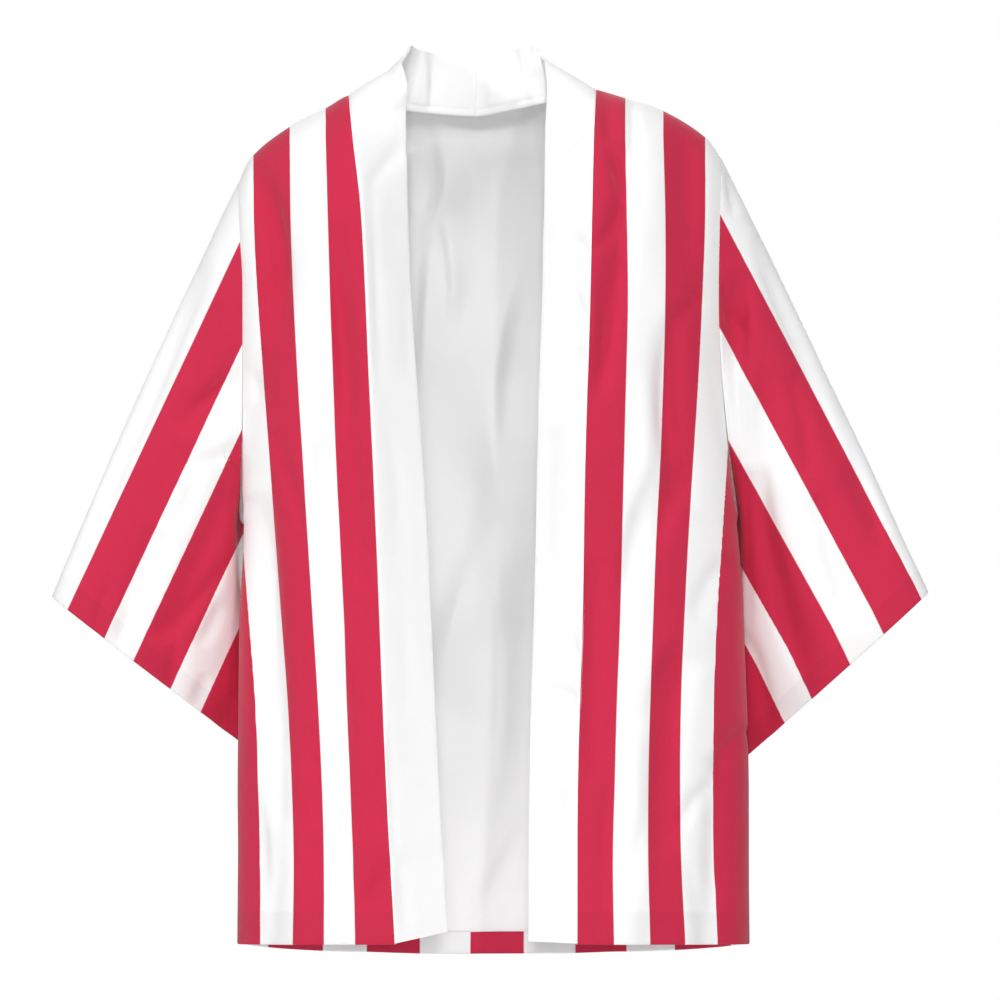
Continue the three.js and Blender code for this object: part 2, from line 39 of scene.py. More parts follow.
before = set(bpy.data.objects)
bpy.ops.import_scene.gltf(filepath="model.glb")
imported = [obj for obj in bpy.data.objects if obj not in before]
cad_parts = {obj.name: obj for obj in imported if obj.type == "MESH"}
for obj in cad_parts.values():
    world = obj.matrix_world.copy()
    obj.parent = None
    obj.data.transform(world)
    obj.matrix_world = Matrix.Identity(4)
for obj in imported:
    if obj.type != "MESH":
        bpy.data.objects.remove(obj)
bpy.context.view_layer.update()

# Shapes are worked out in millimetres, +Z up, with the wearer facing -Y, and become metres
# when a mesh is made. The wearer's left side is at +X.
MM = 0.001

# ---- Sizes of the pattern ------------------------------------------------------------

BAND_WIDTH = 56
BAND_CLOTH = 2.4  # the doubled neckband where its halves meet
SEAM_GAP = 0.3
CENTRE_BACK_GAP = 0.1
CENTRE_BACK_X = -4
ARMPIT_Z = -385
SIDE_HEM_Z = -763
FRONT_HEM_Z = -757
BACK_HEM_Z = -776
ARMHOLE_HALF_DEPTH = 58
CUFF_HALF_DEPTH = 46
SIDE_SEAM_Y = 30
SHOULDER_ROUND = 120  # below the shoulder, where the body reaches its full depth
SQUARENESS = 2.3  # of the body's cross-section, where 2 is an ellipse
ARMPIT_EASE = 3  # the underarm stands off the side seam
UNDERARM_SWING = 6  # the sleeve's lower edge hangs outwards

# A panel's rows run round the armhole and then down the side seam
ARMHOLE_ROWS = 12
LOWER_ROWS = 13
ROWS = ARMHOLE_ROWS + LOWER_ROWS
FIRST_TURN = 0.015  # share of the armhole's half turn at which its first row starts
SETTLING_PASSES = 6  # a front's rows and its band seam depend on each other

# Steps of the cloth between two rows of the pattern, and across each piece
ROW_STEPS = 8
FRONT_STEPS = 66
SHOULDER_STEPS = 44
NECK_STEPS = 48
SLEEVE_STEPS = 120
BAND_STEPS = 18
HEM_STEPS = 5
BAND_FINENESS = 2  # steps of the band for each of the back's, and across each of its own

# A sewn edge runs on behind its neighbour, but the back's side seams are turned back under
SEAM_LAP = 0.9
SIDE_SEAM_LAP = -2
SEAM_DROP = 1.7
SHARP_DEGREES = 60  # edges that turn by more than this stay sharp
# Distance between the two layers of a turned-up hem
HEM_SPACING = 1.6
BACK_HEM_SPACING = 2.4

# Where the band's inner layer is stitched down over its seam: places across and thickness
BAND_LIP = (
    (5.6, -0.9), (4.6, -0.8), (3.8, -1.4), (2.2, -2.0), (0.4, -2.2), (-1.0, -1.9),
    (-1.6, -1.4), (-0.8, -0.9),
)
BAND_SWELL = 6  # width over which the band grows to its full thickness
BAND_ROUNDING = (0.8, 0.3)  # from the free edge, where the fold begins and where it bends
CENTRE_BACK_PINCH = (0.35, 0.8)  # thickness left beside the centre-back seam

# Point that the outline, the creases and the stripes were drawn from
EYE = np.array([18.9, -8000.0, -363.6])


def curve(*rows):
    """A smooth curve through rows of (place, value)."""
    rows = sorted(rows)
    at = np.array([row[0] for row in rows], float)
    to = np.array([row[1] for row in rows], float)
    before = np.maximum(np.arange(len(at)) - 1, 0)
    after = np.minimum(np.arange(len(at)) + 1, len(at) - 1)
    slope = (to[after] - to[before]) / (at[after] - at[before])

    def value(place):
        held = np.clip(np.asarray(place, float), at[0], at[-1])
        i = np.clip(np.searchsorted(at, held, side="right") - 1, 0, len(at) - 2)
        span = at[i + 1] - at[i]
        t = (held - at[i]) / span
        rest = 1 - t
        start = (to[i] * (1 + 2 * t) + slope[i] * span * t) * rest * rest
        end = (to[i + 1] * (3 - 2 * t) - slope[i + 1] * span * rest) * t * t
        return start + end

    return value


# Half-depth of the body at a height, and height of the shoulders and the neckline at a
# place across
front_depth = curve((0, 104), (-230, 114), (-480, 109), (-763, 115))
back_depth = curve((0, 108), (-180, 116), (-430, 105), (-776, 115))
ridge = curve(
    (-217, -80), (-205, -56), (-170, -28), (-137, -11), (-117, 0), (-60, 8),
    (50, 11), (105, 5), (130, -2), (166, -14), (204, -38), (218, -57),
)
neckline = curve(
    (-117, 0), (-100, -1), (-85, -3), (-66, -10), (-28, -14), (0, -15),
    (24, -11), (59, -4), (85, 2), (105, 5),
)

# Lines of each side of the garment. outline and band_seam give the distance from the middle
# at a height. heading and rise give the way that the band stands, in degrees, with 0 at the
# centre back, 1 at the neck point and 2 at the hem. back_edge holds the back's edge column
# and the one beside it, and back_shoulder its columns under the shoulder seam.
SIDES = {
    "right": SimpleNamespace(
        sign=-1,
        back_edge=(0, 1),
        back_shoulder=slice(0, SHOULDER_STEPS + 1),
        neck_x=117,
        top=-80,
        outline=curve(
            (-80, 217), (-128, 214), (-180, 211), (-395, 213), (-480, 216), (-763, 217)
        ),
        band_seam=curve(
            (0, 117), (-40, 112.5), (-112, 104.5), (-256, 97.7), (-400, 91),
            (-616, 82.2), (-763, 74.2),
        ),
        cuff_top=np.array([-383.5, 2, -450]),
        cuff_low=np.array([-193.0, 84, -599]),
        bow=4,
        heading=curve(
            (0, 90), (0.33, 80), (0.5, 50), (0.67, 25), (0.83, 11), (1, 4), (1.017, 6),
            (1.038, 28), (1.067, 35), (1.147, 44), (1.3, 43), (1.52, 38), (2, 34),
        ),
        rise=curve(
            (0, 74), (0.33, 73), (0.5, 75), (0.67, 68), (0.83, 52), (1, 33), (1.017, 24),
            (1.038, 13), (1.067, 4), (1.147, 0), (1.3, 0), (1.52, 0), (2, 9),
        ),
    ),
    "left": SimpleNamespace(
        sign=1,
        back_edge=(-1, -2),
        back_shoulder=slice(-SHOULDER_STEPS - 1, None),
        neck_x=105,
        top=-57,
        outline=curve(
            (-57, 218), (-124, 215), (-213, 214.5), (-290, 220.5), (-422, 234.5),
            (-500, 238.5), (-593, 242), (-763, 243.5),
        ),
        band_seam=curve(
            (5, 105), (-40, 102.5), (-184, 99), (-328, 94.6), (-472, 92.2), (-616, 88),
            (-763, 87.5),
        ),
        cuff_top=np.array([404.0, 2, -446]),
        cuff_low=np.array([218.0, 84, -616]),
        bow=2,
        heading=curve(
            (0, 90), (0.33, 78), (0.5, 57), (0.67, 43), (0.83, 42), (1, 24), (1.023, 37),
            (1.073, 41), (1.153, 42), (2, 41),
        ),
        rise=curve(
            (0, 74), (0.33, 68), (0.5, 66), (0.67, 61), (0.83, 42), (1, 29), (1.023, 20),
            (1.073, 4), (1.153, 0), (2, 0),
        ),
    ),
}

# ---- Folds ---------------------------------------------------------------------------

# Soft troughs on an arc from (x0, z0) to (x1, z1), seen from the front: then the bow
# towards +X, the width and the depth. A negative depth is a ridge. A last number, where
# there is one, is the lean: at 1 the side towards -X is sharp, at -1 the other. FOLDS holds
# the largest folds of each piece and CREASES its smaller ones.
FOLDS = {
    "front_right": (
        (-202, -62, -180, -225, 9, 12, 7),
        (-130, -120, -106, -445, 0, 11, 6),
        (-199, -360, -181, -655, 4, 14, 10),
        (-133, -478, -121, -668, 3, 11, 6),
        (-158, -600, -160, -800, 0, 14, -6),
    ),
    "front_left": (
        (128, -55, 103, -275, 8, 10, 6),
        (104, -415, 102, -612, 0, 10, 5),
        (172, -205, 181, -370, -6, 13, 8),
        (184, -500, 164, -680, -10, 13, 8),
        (214, -590, 208, -800, 0, 12, 7),
        (140, -560, 134, -800, 0, 14, -5),
    ),
    "back": (
        (120, -170, 134, -520, 6, 18, 8),
        (-128, -210, -140, -600, -8, 18, 9),
        (-96, -540, -104, -820, 0, 20, -8),
        (112, -560, 122, -820, 0, 20, -8),
    ),
    "sleeve_right_front": (
        (-250, -145, -355, -385, 4, 15, 8),
        (-212, -225, -272, -300, 6, 12, 6),
        (-222, -330, -288, -490, 6, 13, 7),
        (-290, -390, -326, -500, 0, 12, 6),
    ),
    "sleeve_right_back": (
        (-238, -130, -330, -350, -6, 16, 7),
        (-222, -300, -270, -520, 8, 14, 8),
        (-280, -330, -340, -470, 0, 12, 5),
    ),
    "sleeve_left_front": (
        (228, -160, 236, -330, -4, 11, 7),
        (262, -150, 368, -390, -4, 16, 6),
        (244, -340, 300, -520, -6, 13, 6),
        (300, -360, 346, -480, 0, 12, 5),
    ),
    "sleeve_left_back": (
        (240, -120, 340, -350, 6, 16, 7),
        (240, -330, 292, -530, -8, 14, 8),
    ),
}
CREASES = {
    "front_right": (
        (-197, -56, -175, -216, 8, 9, 4.5, -0.3),
        (-206, -246, -198, -278, 1, 6, 3),
        (-191, -318, -186, -570, 0, 12, 5.5, -0.5),
        (-184, -302, -172, -344, 1, 6, 3),
        (-174, -334, -159, -392, 2, 7, 4),
        (-153, -300, -144, -388, -2, 7, 3.2),
        (-138, -484, -124, -604, 2, 9, 4.5, 0.4),
        (-132, -130, -121, -298, 2, 8, 4, 0.4),
        (-142, -738, -112, -676, -4, 7, 5.5, -0.5),
        (-110, -742, -80, -680, -3, 8, 6, 0.3),
        (-202, -610, -194, -740, 3, 9, 4, -0.4),
        (-160, -60, -148, -210, 3, 8, -2.4),
        (-120, -640, -132, -760, 3, 6, 2.4),
        (-178, -690, -190, -790, -3, 7, 2.6),
        (-150, -570, -146, -660, 2, 8, 2.6),
    ),
    "front_left": (
        (112, 4, 120, -42, 1, 8, 3.6),
        (115, -42, 131, -100, 3, 8, 4.4, 0.4),
        (128, -98, 107, -138, 2, 7, 4),
        (110, -142, 109, -282, 2, 6, 3.4, 0.4),
        (136, 4, 138, -66, 2, 6, 3),
        (184, -16, 187, -172, 3, 14, 6, -0.3),
        (200, -182, 169, -214, -3, 7, 4),
        (174, -206, 172, -334, -2, 9, 5, -0.5),
        (162, -326, 128, -466, -5, 9, 6, 0.4),
        (187, -330, 159, -424, -4, 9, 4.6, -0.3),
        (183, -484, 155, -566, -5, 9, 4.6, 0.4),
        (209, -618, 180, -660, -3, 7, 4),
        (240, -568, 213, -610, -3, 8, 4.4),
        (225, -416, 197, -474, -6, 9, 4),
        (150, -250, 146, -370, 3, 9, -2.2),
        (118, -620, 112, -745, -3, 6, 2.6),
        (190, -690, 200, -790, 3, 7, 2.8),
        (150, -640, 140, -740, -3, 8, 3, -0.4),
    ),
    "back": (
        (-38, -17, -52, -134, 15, 17, 14, 0.55),
        (-34, -100, -25, -204, 5, 9, 8, 0.5),
        (-40, -106, -50, -276, -2, 17, 12, 0.7),
        (-60, -98, -57, -110, 0, 3, 2),
        (38, -140, 12, -356, -12, 26, 14, -0.7),
        (22, -250, 22, -500, 0, 30, 21, 0.35),
        (20, -384, -30, -556, -14, 26, 19, 0.4),
        (20, -400, 22, -640, 0, 12, 6, 0.5),
        (22, -430, -26, -790, 10, 24, 13, -0.3),
        (46, -620, -20, -745, 0, 14, 5, -0.4),
        (46, -8, 56, -170, 2, 14, 5, -0.6),
        (-62, -32, 60, -27, -2, 13, -6),
        (-68, -14, -62, -50, 0, 6, -4),
        (-74, -300, -66, -420, 3, 8, 1.8),
        (70, -360, 60, -500, -4, 9, 1.8),
        (-196, -340, -150, -420, 8, 9, 3),
        (-186, -420, -130, -520, 10, 9, 2.4),
        (212, -350, 160, -440, -8, 9, 3),
        (204, -440, 150, -560, -8, 9, 2.4),
        (-170, -110, -110, -190, 8, 10, 2.4),
        (168, -100, 110, -180, -8, 10, 2.4),
        (-60, -640, -52, -790, 3, 9, 2.2),
        (78, -650, 84, -790, -3, 9, 2.2),
        (170, -600, 178, -790, 4, 10, 2.4),
        (-176, -620, -170, -790, -4, 10, 2.4),
    ),
    "sleeve_right_front": (
        (-209, -236, -266, -284, 4, 7, 4.4, 0.3),
        (-214, -316, -268, -332, 3, 7, 4),
        (-255, -340, -272, -386, 2, 6, 3),
        (-282, -394, -302, -460, -2, 7, 3.8, 0.4),
        (-313, -466, -323, -492, -2, 5, 3),
        (-224, -410, -300, -496, 8, 8, 5, -0.3),
        (-232, -456, -253, -496, 2, 6, 3.4),
        (-245, -520, -257, -550, 1, 6, 3.2),
        (-254, -152, -300, -270, 2, 8, 3),
        (-318, -300, -358, -410, 2, 8, 3.4, 0.4),
        (-236, -190, -262, -262, -3, 8, 3),
        (-330, -430, -348, -500, -2, 6, 2.6),
        (-222, -540, -240, -592, 2, 7, 2.8),
        (-270, -470, -288, -560, 3, 8, 2.6),
    ),
    "sleeve_right_back": (
        (-214, -230, -268, -290, 4, 7, 2.4),
        (-216, -340, -258, -380, 3, 7, 2),
        (-250, -420, -284, -520, -4, 7, 2.2),
        (-316, -340, -356, -430, 3, 7, 1.8),
    ),
    "sleeve_left_front": (
        (219, -60, 231, -108, 2, 6, 3.4),
        (236, -160, 237, -256, 2, 12, 6, -0.6),
        (216, -168, 238, -216, -3, 6, 3.6),
        (262, -240, 256, -340, -4, 15, 6, 0.3),
        (280, -250, 298, -340, 3, 9, 3.4),
        (239, -336, 243, -482, 1, 5, 1.6),
        (256, -330, 268, -440, -3, 8, 3.4),
        (262, -430, 304, -548, -4, 8, 3.8, 0.3),
        (250, -126, 300, -236, -3, 9, 3.2),
        (330, -320, 370, -424, 3, 8, 3.2, -0.4),
        (238, -480, 262, -572, 3, 8, 3.4),
        (300, -250, 336, -340, 3, 9, -2.4),
        (310, -400, 336, -480, 2, 7, 2.8),
    ),
    "sleeve_left_back": (
        (216, -210, 262, -280, -4, 7, 2.4),
        (226, -330, 276, -400, -4, 7, 2),
        (290, -350, 330, -470, 4, 7, 2),
        (256, -450, 286, -560, -3, 7, 2),
    ),
    "band_right": (
        (-66, -40, -99, -82, 0, 7, 3),
        (-98, -76, -90, -268, 2, 5, 1.8),
        (-88, -545, -78, -690, 2, 6, 2),
        (-72, -690, -66, -750, 1, 6, 2.4),
        (-80, -300, -72, -420, 3, 7, 1.5),
        (-62, -150, -60, -260, -2, 7, 1.4),
        (-52, 46, -50, -24, 1, 10, 5, -0.7),
        (-92, 2, -78, 26, -2, 6, 2),
        (-70, -470, -64, -560, 2, 7, 1.6),
    ),
    "band_left": (
        (68, -58, 101, -25, 2, 6, 3.2),
        (84, -131, 100, -140, 1, 5, 2.6),
        (86, -177, 99, -201, -1, 5, 2.6),
        (82, -232, 97, -238, 1, 5, 2.4),
        (82, -506, 92, -486, 1, 6, 2.4),
        (56, -535, 92, -544, 2, 7, 2.8),
        (66, -300, 62, -430, -2, 7, 1.6),
        (72, -600, 66, -740, 2, 7, 1.8),
        (38, 43, 45, 14, 1, 4, 2.6),
        (45, 16, 28, -12, 2, 4, 2.8),
        (42, 20, 50, -7, 1, 4, 2.2),
        (47, 16, 60, 31, 1, 4, 2.2),
        (13, 42, 11, -22, 1, 18, 4.5, 0.72),
    ),
}

# How much narrower a leaning fold is on its sharp side, and how a fold runs out at its ends
LEAN = 0.85
RUN_OUT = 0.5
LEANING_RUN_OUT = 1.5

# Folds fade out towards a panel's side seams, and over its first rows
FOLD_RAMP = 15
CREASE_RAMP = 8
FOLD_ROWS = 4
CREASE_ROWS = 0.7
SLEEVE_ROWS = 12
SLEEVE_FOLD_ROWS = 2
SLEEVE_CREASE_ROWS = 0.6

# Slow waves in the cloth: their height, and their length across and down the piece
BODY_WAVES = (0.9, 60, 150)
SLEEVE_WAVES = (0.8, 70, 110)
BAND_WAVES = (0.35, 40, 90)
WAVE_SEEDS = {
    "front_right": 1,
    "front_left": 2,
    "back": 3,
    "sleeve_right": 5,
    "sleeve_left": 6,
    "band_right": 8,
    "band_left": 9,
}

# ---- Stripes -------------------------------------------------------------------------

STRIPE_HEIGHTS = [-40 - 72 * row for row in range(11)]


def stripe_edge(*distances):
    """A stripe's edge: its distance from the middle at each height, down to the hem."""
    return curve(*zip(STRIPE_HEIGHTS[-len(distances):], distances))


# Stripe edges on each front, counted from the band. Stripe 0 to 1 is red, 1 to 2 is white,
# and so on.
FRONT_STRIPES = {
    "right": (
        stripe_edge(
            137.7, 135.9, 134.1, 131.4, 128.7, 125.1, 121.5, 118.8, 116.1, 113.4, 111.6
        ),
        stripe_edge(
            170.1, 169.2, 166.5, 162.9, 158.4, 153.9, 149.4, 144.9, 141.3, 139.5, 139.5
        ),
        stripe_edge(
            203, 202.5, 198.9, 193.5, 188.1, 182.7, 177.3, 171.9, 168.3, 166.5, 167.4
        ),
        stripe_edge(222, 217, 212.4, 207, 201.6, 198.9, 197.1, 197.1),
    ),
    "left": (
        stripe_edge(
            131.4, 133.2, 134.1, 132.3, 130.5, 128.7, 126.9, 124.2, 122.4, 120.6, 121.5
        ),
        stripe_edge(
            165.6, 167.4, 167.4, 165.6, 162.9, 159.3, 156.6, 153.9, 152.1, 152.1, 153.9
        ),
        stripe_edge(
            203.4, 203.4, 200.7, 197.1, 192.6, 188.1, 184.5, 181.8, 180.9, 181.8, 185.4
        ),
        stripe_edge(226, 223.2, 218.7, 214.2, 211.5, 210.6, 211.5, 215.1),
    ),
}
# A front's count starts and ends inside a red stripe, so that no edge shows at its seams.
# The last one runs on round the side, and the count grows by one in this many millimetres.
FRONT_COUNT = (0.06, 4.5)
SIDE_STRIPE_RUN = 12
# Stripe edges across the back, and the count at the first of them
BACK_STRIPES = (
    -239, -191.7, -141.3, -101.7, -53.1, -8.1, 40.5, 86.4, 134.1, 177.3, 228.6, 276,
)
BACK_FIRST_STRIPE = -5
# Stripe edges on each sleeve, measured square to its top edge, at the armhole and the cuff,
# and the top edge's ends as x and z. The first white stripe lies half over the top edge.
SLEEVE_STRIPES = {
    "right": ((22.6, 64, 95.6, 136.4, 166, 208), (17.6, 58.5, 90.4, 131.6, 164.4, 205)),
    "left": ((24, 73.5, 117, 164, 194, 240), (10, 54.5, 93, 138, 169, 215)),
}
SLEEVE_TOP_EDGE = {
    "right": (np.array([-216.0, -80.1]), np.array([-381.6, -444.6])),
    "left": (np.array([217.8, -56.7]), np.array([402.3, -438.3])),
}


# ---- Shape of the worn garment -------------------------------------------------------

def lerp(a, b, t):
    return a + (b - a) * t


def ease(t):
    t = np.clip(t, 0, 1)
    return t * t * (3 - 2 * t)


def unit(vectors):
    length = np.linalg.norm(vectors, axis=-1, keepdims=True)
    return vectors / np.maximum(length, 1e-9)


def dot(a, b):
    return np.sum(a * b, axis=-1, keepdims=True)


def depth_at(face, x, z):
    """Half-depth of the front (face -1) or the back (face 1), rounded over the shoulder."""
    full = np.where(np.asarray(face) < 0, front_depth(z), back_depth(z))
    t = np.clip((ridge(x) - z) / SHOULDER_ROUND, 0, 1)
    return full * np.sqrt(1 - (1 - t) ** 2)


def across(angle):
    """How far across the body a point at an angle lies: 1 at the side, 0 at the middle."""
    return np.abs(np.cos(angle)) ** (2 / SQUARENESS)


def angle_across(share):
    """The angle at which a point lies a share of the way out: across, turned round."""
    return np.arccos(np.clip(share, 0, 1) ** (SQUARENESS / 2))


def panel_edge(side, face, row):
    """Angle and reach of a panel's edge: round the armhole, then down the side seam."""
    turn = np.pi * np.clip(row / ARMHOLE_ROWS, FIRST_TURN, 1)
    share = (1 - np.cos(turn)) / 2
    lower = np.maximum(row - ARMHOLE_ROWS, 0) / LOWER_ROWS
    z = lerp(lerp(side.top, ARMPIT_Z, share), SIDE_HEM_Z, lower)
    y = SIDE_SEAM_Y * ease(share) + face * ARMHOLE_HALF_DEPTH * np.sin(turn)
    outline = side.outline(z)
    own = np.where(y * face > 0, face, -face)
    share_out = np.abs(y) / depth_at(own, side.sign * outline, z)
    angle = np.arcsin(np.clip(share_out, 0, 1) ** (SQUARENESS / 2))
    closing = np.where(share > 0.5, (1 - np.sin(turn)) ** 2, 0)
    x = outline * lerp(1, across(angle), closing)
    return np.where(own == face, angle, -angle), x / across(angle)


def row_height(row, inward, top, hem):
    """Height of a row: it follows the armhole at the edge and hangs level at the middle."""
    turn = np.pi * np.clip(row / ARMHOLE_ROWS, 0, 1)
    at_edge = (1 - np.cos(turn)) / 2
    at_middle = 1 - np.cos(turn / 2)
    upper = lerp(top, ARMPIT_Z, lerp(at_edge, at_middle, ease(2 * inward)))
    return lerp(upper, hem, np.maximum(row - ARMHOLE_ROWS, 0) / LOWER_ROWS)


def surface_point(side, face, reach, angle, z):
    """Points on the front or back; past the side, at an angle below 0, on the other."""
    x = side.sign * reach * across(angle)
    own = np.where(angle >= 0, face, -face)
    y = own * depth_at(own, x, z) * np.abs(np.sin(angle)) ** (2 / SQUARENESS)
    return np.stack(np.broadcast_arrays(x, y, z), -1)


def middling(edge, angle):
    """How far a point lies from the panel's edge, at 0, towards the middle, at 1."""
    return (np.sin(angle) - np.sin(edge)) / (1 - np.sin(edge))


def pattern_rows():
    """Places of the rows, in rows of the pattern."""
    return np.linspace(0, ROWS, ROWS * ROW_STEPS + 1)[:, None]


def front_surface(side):
    """A front's grid: row by row from the shoulder, column by column from the armhole."""
    rows = pattern_rows()
    inward = np.linspace(0, 1, FRONT_STEPS + 1)[None, :]
    edge, reach = panel_edge(side, -1, rows)
    z = np.full((len(rows), FRONT_STEPS + 1), float(ARMPIT_Z))
    for _ in range(SETTLING_PASSES):
        angle = lerp(edge, angle_across(side.band_seam(z) / reach), inward)
        hem = lerp(SIDE_HEM_Z, FRONT_HEM_Z, middling(edge, angle))
        z = row_height(rows, inward, ridge(side.sign * reach * across(angle)), hem)
    return surface_point(side, -1, reach, angle, z)


def back_columns(side, inward, x=None):
    """Columns of the back: under the shoulder seam, or at x under the neckline."""
    rows = pattern_rows()
    edge, reach = panel_edge(side, 1, rows)
    if x is None:
        angle = lerp(edge, angle_across(side.neck_x / reach), inward)
        top = ridge(side.sign * reach * across(angle))
    else:
        angle = angle_across(np.abs(x) / reach)
        top = neckline(side.sign * reach * across(angle))
    hem = lerp(SIDE_HEM_Z, BACK_HEM_Z, middling(edge, angle))
    return surface_point(side, 1, reach, angle, row_height(rows, inward, top, hem))


def back_surface():
    """The back's grid, from the right armhole over the neckline to the left one."""
    right, left = SIDES["right"], SIDES["left"]
    shoulder = (np.arange(SHOULDER_STEPS) / SHOULDER_STEPS)[None, :]
    steps = np.arange(-NECK_STEPS, NECK_STEPS + 1)
    neck = np.where(steps < 0, -right.neck_x, left.neck_x)
    x = lerp(CENTRE_BACK_X, neck, np.abs(steps) / NECK_STEPS)
    return np.concatenate(
        [
            back_columns(right, shoulder),
            back_columns(right, 1, x[None, x < 0]),
            back_columns(left, 1, x[None, x >= 0]),
            back_columns(left, shoulder)[:, ::-1],
        ],
        axis=1,
    )


def grid_normals(grid, ring=False, centre=(0, 0, 0)):
    """Unit normals that point away from the centre; a ring's rows close on themselves."""
    if ring:
        along = np.roll(grid, -1, 1) - np.roll(grid, 1, 1)
    else:
        along = np.gradient(grid, axis=1)
    normals = unit(np.cross(along, np.gradient(grid, axis=0)))
    away = (grid - np.asarray(centre)) * (1, 1, 0)
    return normals if np.sum(away * normals) > 0 else -normals


def fold_depth(folds, x, z):
    """How deep all the folds together press the cloth in at each point."""
    total = np.zeros(np.shape(x))
    for x0, z0, x1, z1, bow, width, depth, *last in folds:
        lean = last[0] if last else 0
        dx, dz = x1 - x0, z1 - z0
        length = math.hypot(dx, dz)
        t = ((x - x0) * dx + (z - z0) * dz) / length**2
        bowed = 4 * t * (1 - t)
        inside = (t > 0) & (t < 1)
        off = (-(x - x0) * dz + (z - z0) * dx) / length - bow * bowed
        off /= width * (1 + LEAN * lean * np.sign(off))
        run = np.where(inside, bowed, 0) ** (LEANING_RUN_OUT if lean else RUN_OUT)
        total += depth * run * np.exp(-off * off)
    return total


def crumple(grid, seed, height, across_mm, down_mm):
    """Slow, uneven waves in the cloth."""
    shift = Vector((seed * 7.3, seed * 3.1, seed * 5.7))
    flat = grid.reshape(-1, 3) / (across_mm, across_mm, down_mm)
    values = [noise.fractal(Vector(p) + shift, 0.9, 2.1, 3) for p in flat]
    return height * np.array(values).reshape(grid.shape[:2])


def seen(grid):
    """Where each point appears on the plane y = 0 from the eye point: x and z."""
    share = -EYE[1] / (grid[..., 1] - EYE[1])
    return lerp(EYE[0], grid[..., 0], share), lerp(EYE[2], grid[..., 2], share)


def fold_panel(grid, name, edges):
    """Presses a panel's folds and creases in, fading towards the columns at its edges."""
    gap = [np.linalg.norm(grid - grid[:, [edge]], axis=-1) for edge in edges]
    near = np.minimum.reduce(gap)
    top = ease(pattern_rows() / FOLD_ROWS)
    depth = fold_depth(FOLDS[name], grid[..., 0], grid[..., 2]) * ease(near / FOLD_RAMP)
    grid = grid - grid_normals(grid) * (depth * top)[..., None]
    fine = fold_depth(CREASES[name], *seen(grid))
    fine += crumple(grid, WAVE_SEEDS[name], *BODY_WAVES)
    fine *= ease(near / CREASE_RAMP) * ease(pattern_rows() / CREASE_ROWS)
    return grid - grid_normals(grid) * fine[..., None]


def into_piece(edge, inner, before, after):
    """The way from a piece's edge into its cloth, square to the edge."""
    tangent = unit(after - before)
    into = inner - edge
    return unit(into - tangent * dot(into, tangent))


def seam_shift(reach, into, thickness):
    """How far a sewn piece stands off along the seam's bend, for cloth that thick."""
    bend = np.linalg.norm(into - reach, axis=-1, keepdims=True) / 2
    return unit(reach + into) * (SEAM_GAP + thickness * bend)


def neighbours(line):
    """The points before and after each point of an open line."""
    return (
        np.concatenate([line[:1], line[:-1]]),
        np.concatenate([line[1:], line[-1:]]),
    )


@lru_cache(maxsize=None)
def body():
    """Folded grids of the back and both fronts, with their seams shut."""
    back = fold_panel(back_surface(), "back", (0, -1))
    fronts = {
        name: fold_panel(front_surface(side), f"front_{name}", (0,))
        for name, side in SIDES.items()
    }
    return back, fronts


def open_seams(cloth):
    """The body's grids with their seams drawn open for cloth of that thickness."""
    back, fronts = body()
    back, fronts = back.copy(), {name: grid.copy() for name, grid in fronts.items()}
    start = ARMHOLE_ROWS * ROW_STEPS
    for name, front in fronts.items():
        edge, inner = SIDES[name].back_edge
        seam = back[start:, edge].copy()
        before, after = neighbours(seam)
        into_front = into_piece(seam, front[start:, 1], before, after)
        into_back = into_piece(seam, back[start:, inner], before, after)
        bend = np.linalg.norm(into_front + into_back, axis=-1, keepdims=True) / 2
        draw = (SEAM_GAP + cloth * bend) / 2
        front[start:, 0] += into_front * draw
        back[start:, edge] += into_back * draw
        top = grid_normals(front)[0]
        front[0, :, 1] = -(SEAM_GAP + cloth * np.abs(top[:, 1])) / 2
        shoulder = SIDES[name].back_shoulder
        top = grid_normals(back)[0, shoulder]
        back[0, shoulder, 1] = (SEAM_GAP + cloth * np.abs(top[:, 1])) / 2
    return back, fronts


# ---- Cloth ---------------------------------------------------------------------------

def arc_lengths(grid, axis):
    """Distance of each point from the grid's start, measured along the cloth."""
    step = np.linalg.norm(np.diff(grid, axis=axis), axis=-1)
    start = np.zeros_like(np.take(step, [0], axis=axis))
    return np.concatenate([start, np.cumsum(step, axis=axis)], axis=axis)


def with_turned_hem(grid, normals, spacing, height):
    """Adds rows that turn the last row under and back up against the inside."""
    up = unit(grid[-2] - grid[-1])
    centre = grid[-1] - normals[-1] * spacing / 2
    turns = np.linspace(0, np.pi, HEM_STEPS + 1)[1:]
    under = [
        centre + (normals[-1] * np.cos(t) - up * np.sin(t)) * spacing / 2 for t in turns
    ]
    row_step = np.median(np.linalg.norm(grid[-2] - grid[-1], axis=-1))
    count = max(int(round(height / row_step)), 1)
    rows = np.arange(len(grid) - 2, len(grid) - 2 - count, -1)
    inside = grid[rows] - normals[rows] * spacing
    sources = np.concatenate([np.full(len(under), len(grid) - 1), rows])
    return np.concatenate([grid, np.stack(under), inside]), sources


def turned_in(grid, normals, edge, axis, lap):
    """Adds a row or column that leads a sewn edge in behind the cloth it is sewn to."""
    last, inner = (np.take(grid, [at], axis=axis) for at in (edge, 1 if edge == 0 else -2))
    drop = np.take(normals, [edge], axis=axis) * SEAM_DROP
    last = last + unit(last - inner) * lap - drop
    return np.concatenate([last, grid] if edge == 0 else [grid, last], axis=axis)


def pad(values, edge, axis):
    """Repeats a grid's first or last row or column."""
    last = np.take(values, [edge], axis=axis)
    return np.concatenate([last, values] if edge == 0 else [values, last], axis=axis)


def round_again(values):
    """A ring's values with its first column once more at the end."""
    return np.concatenate([values, values[:, :1]], axis=1)


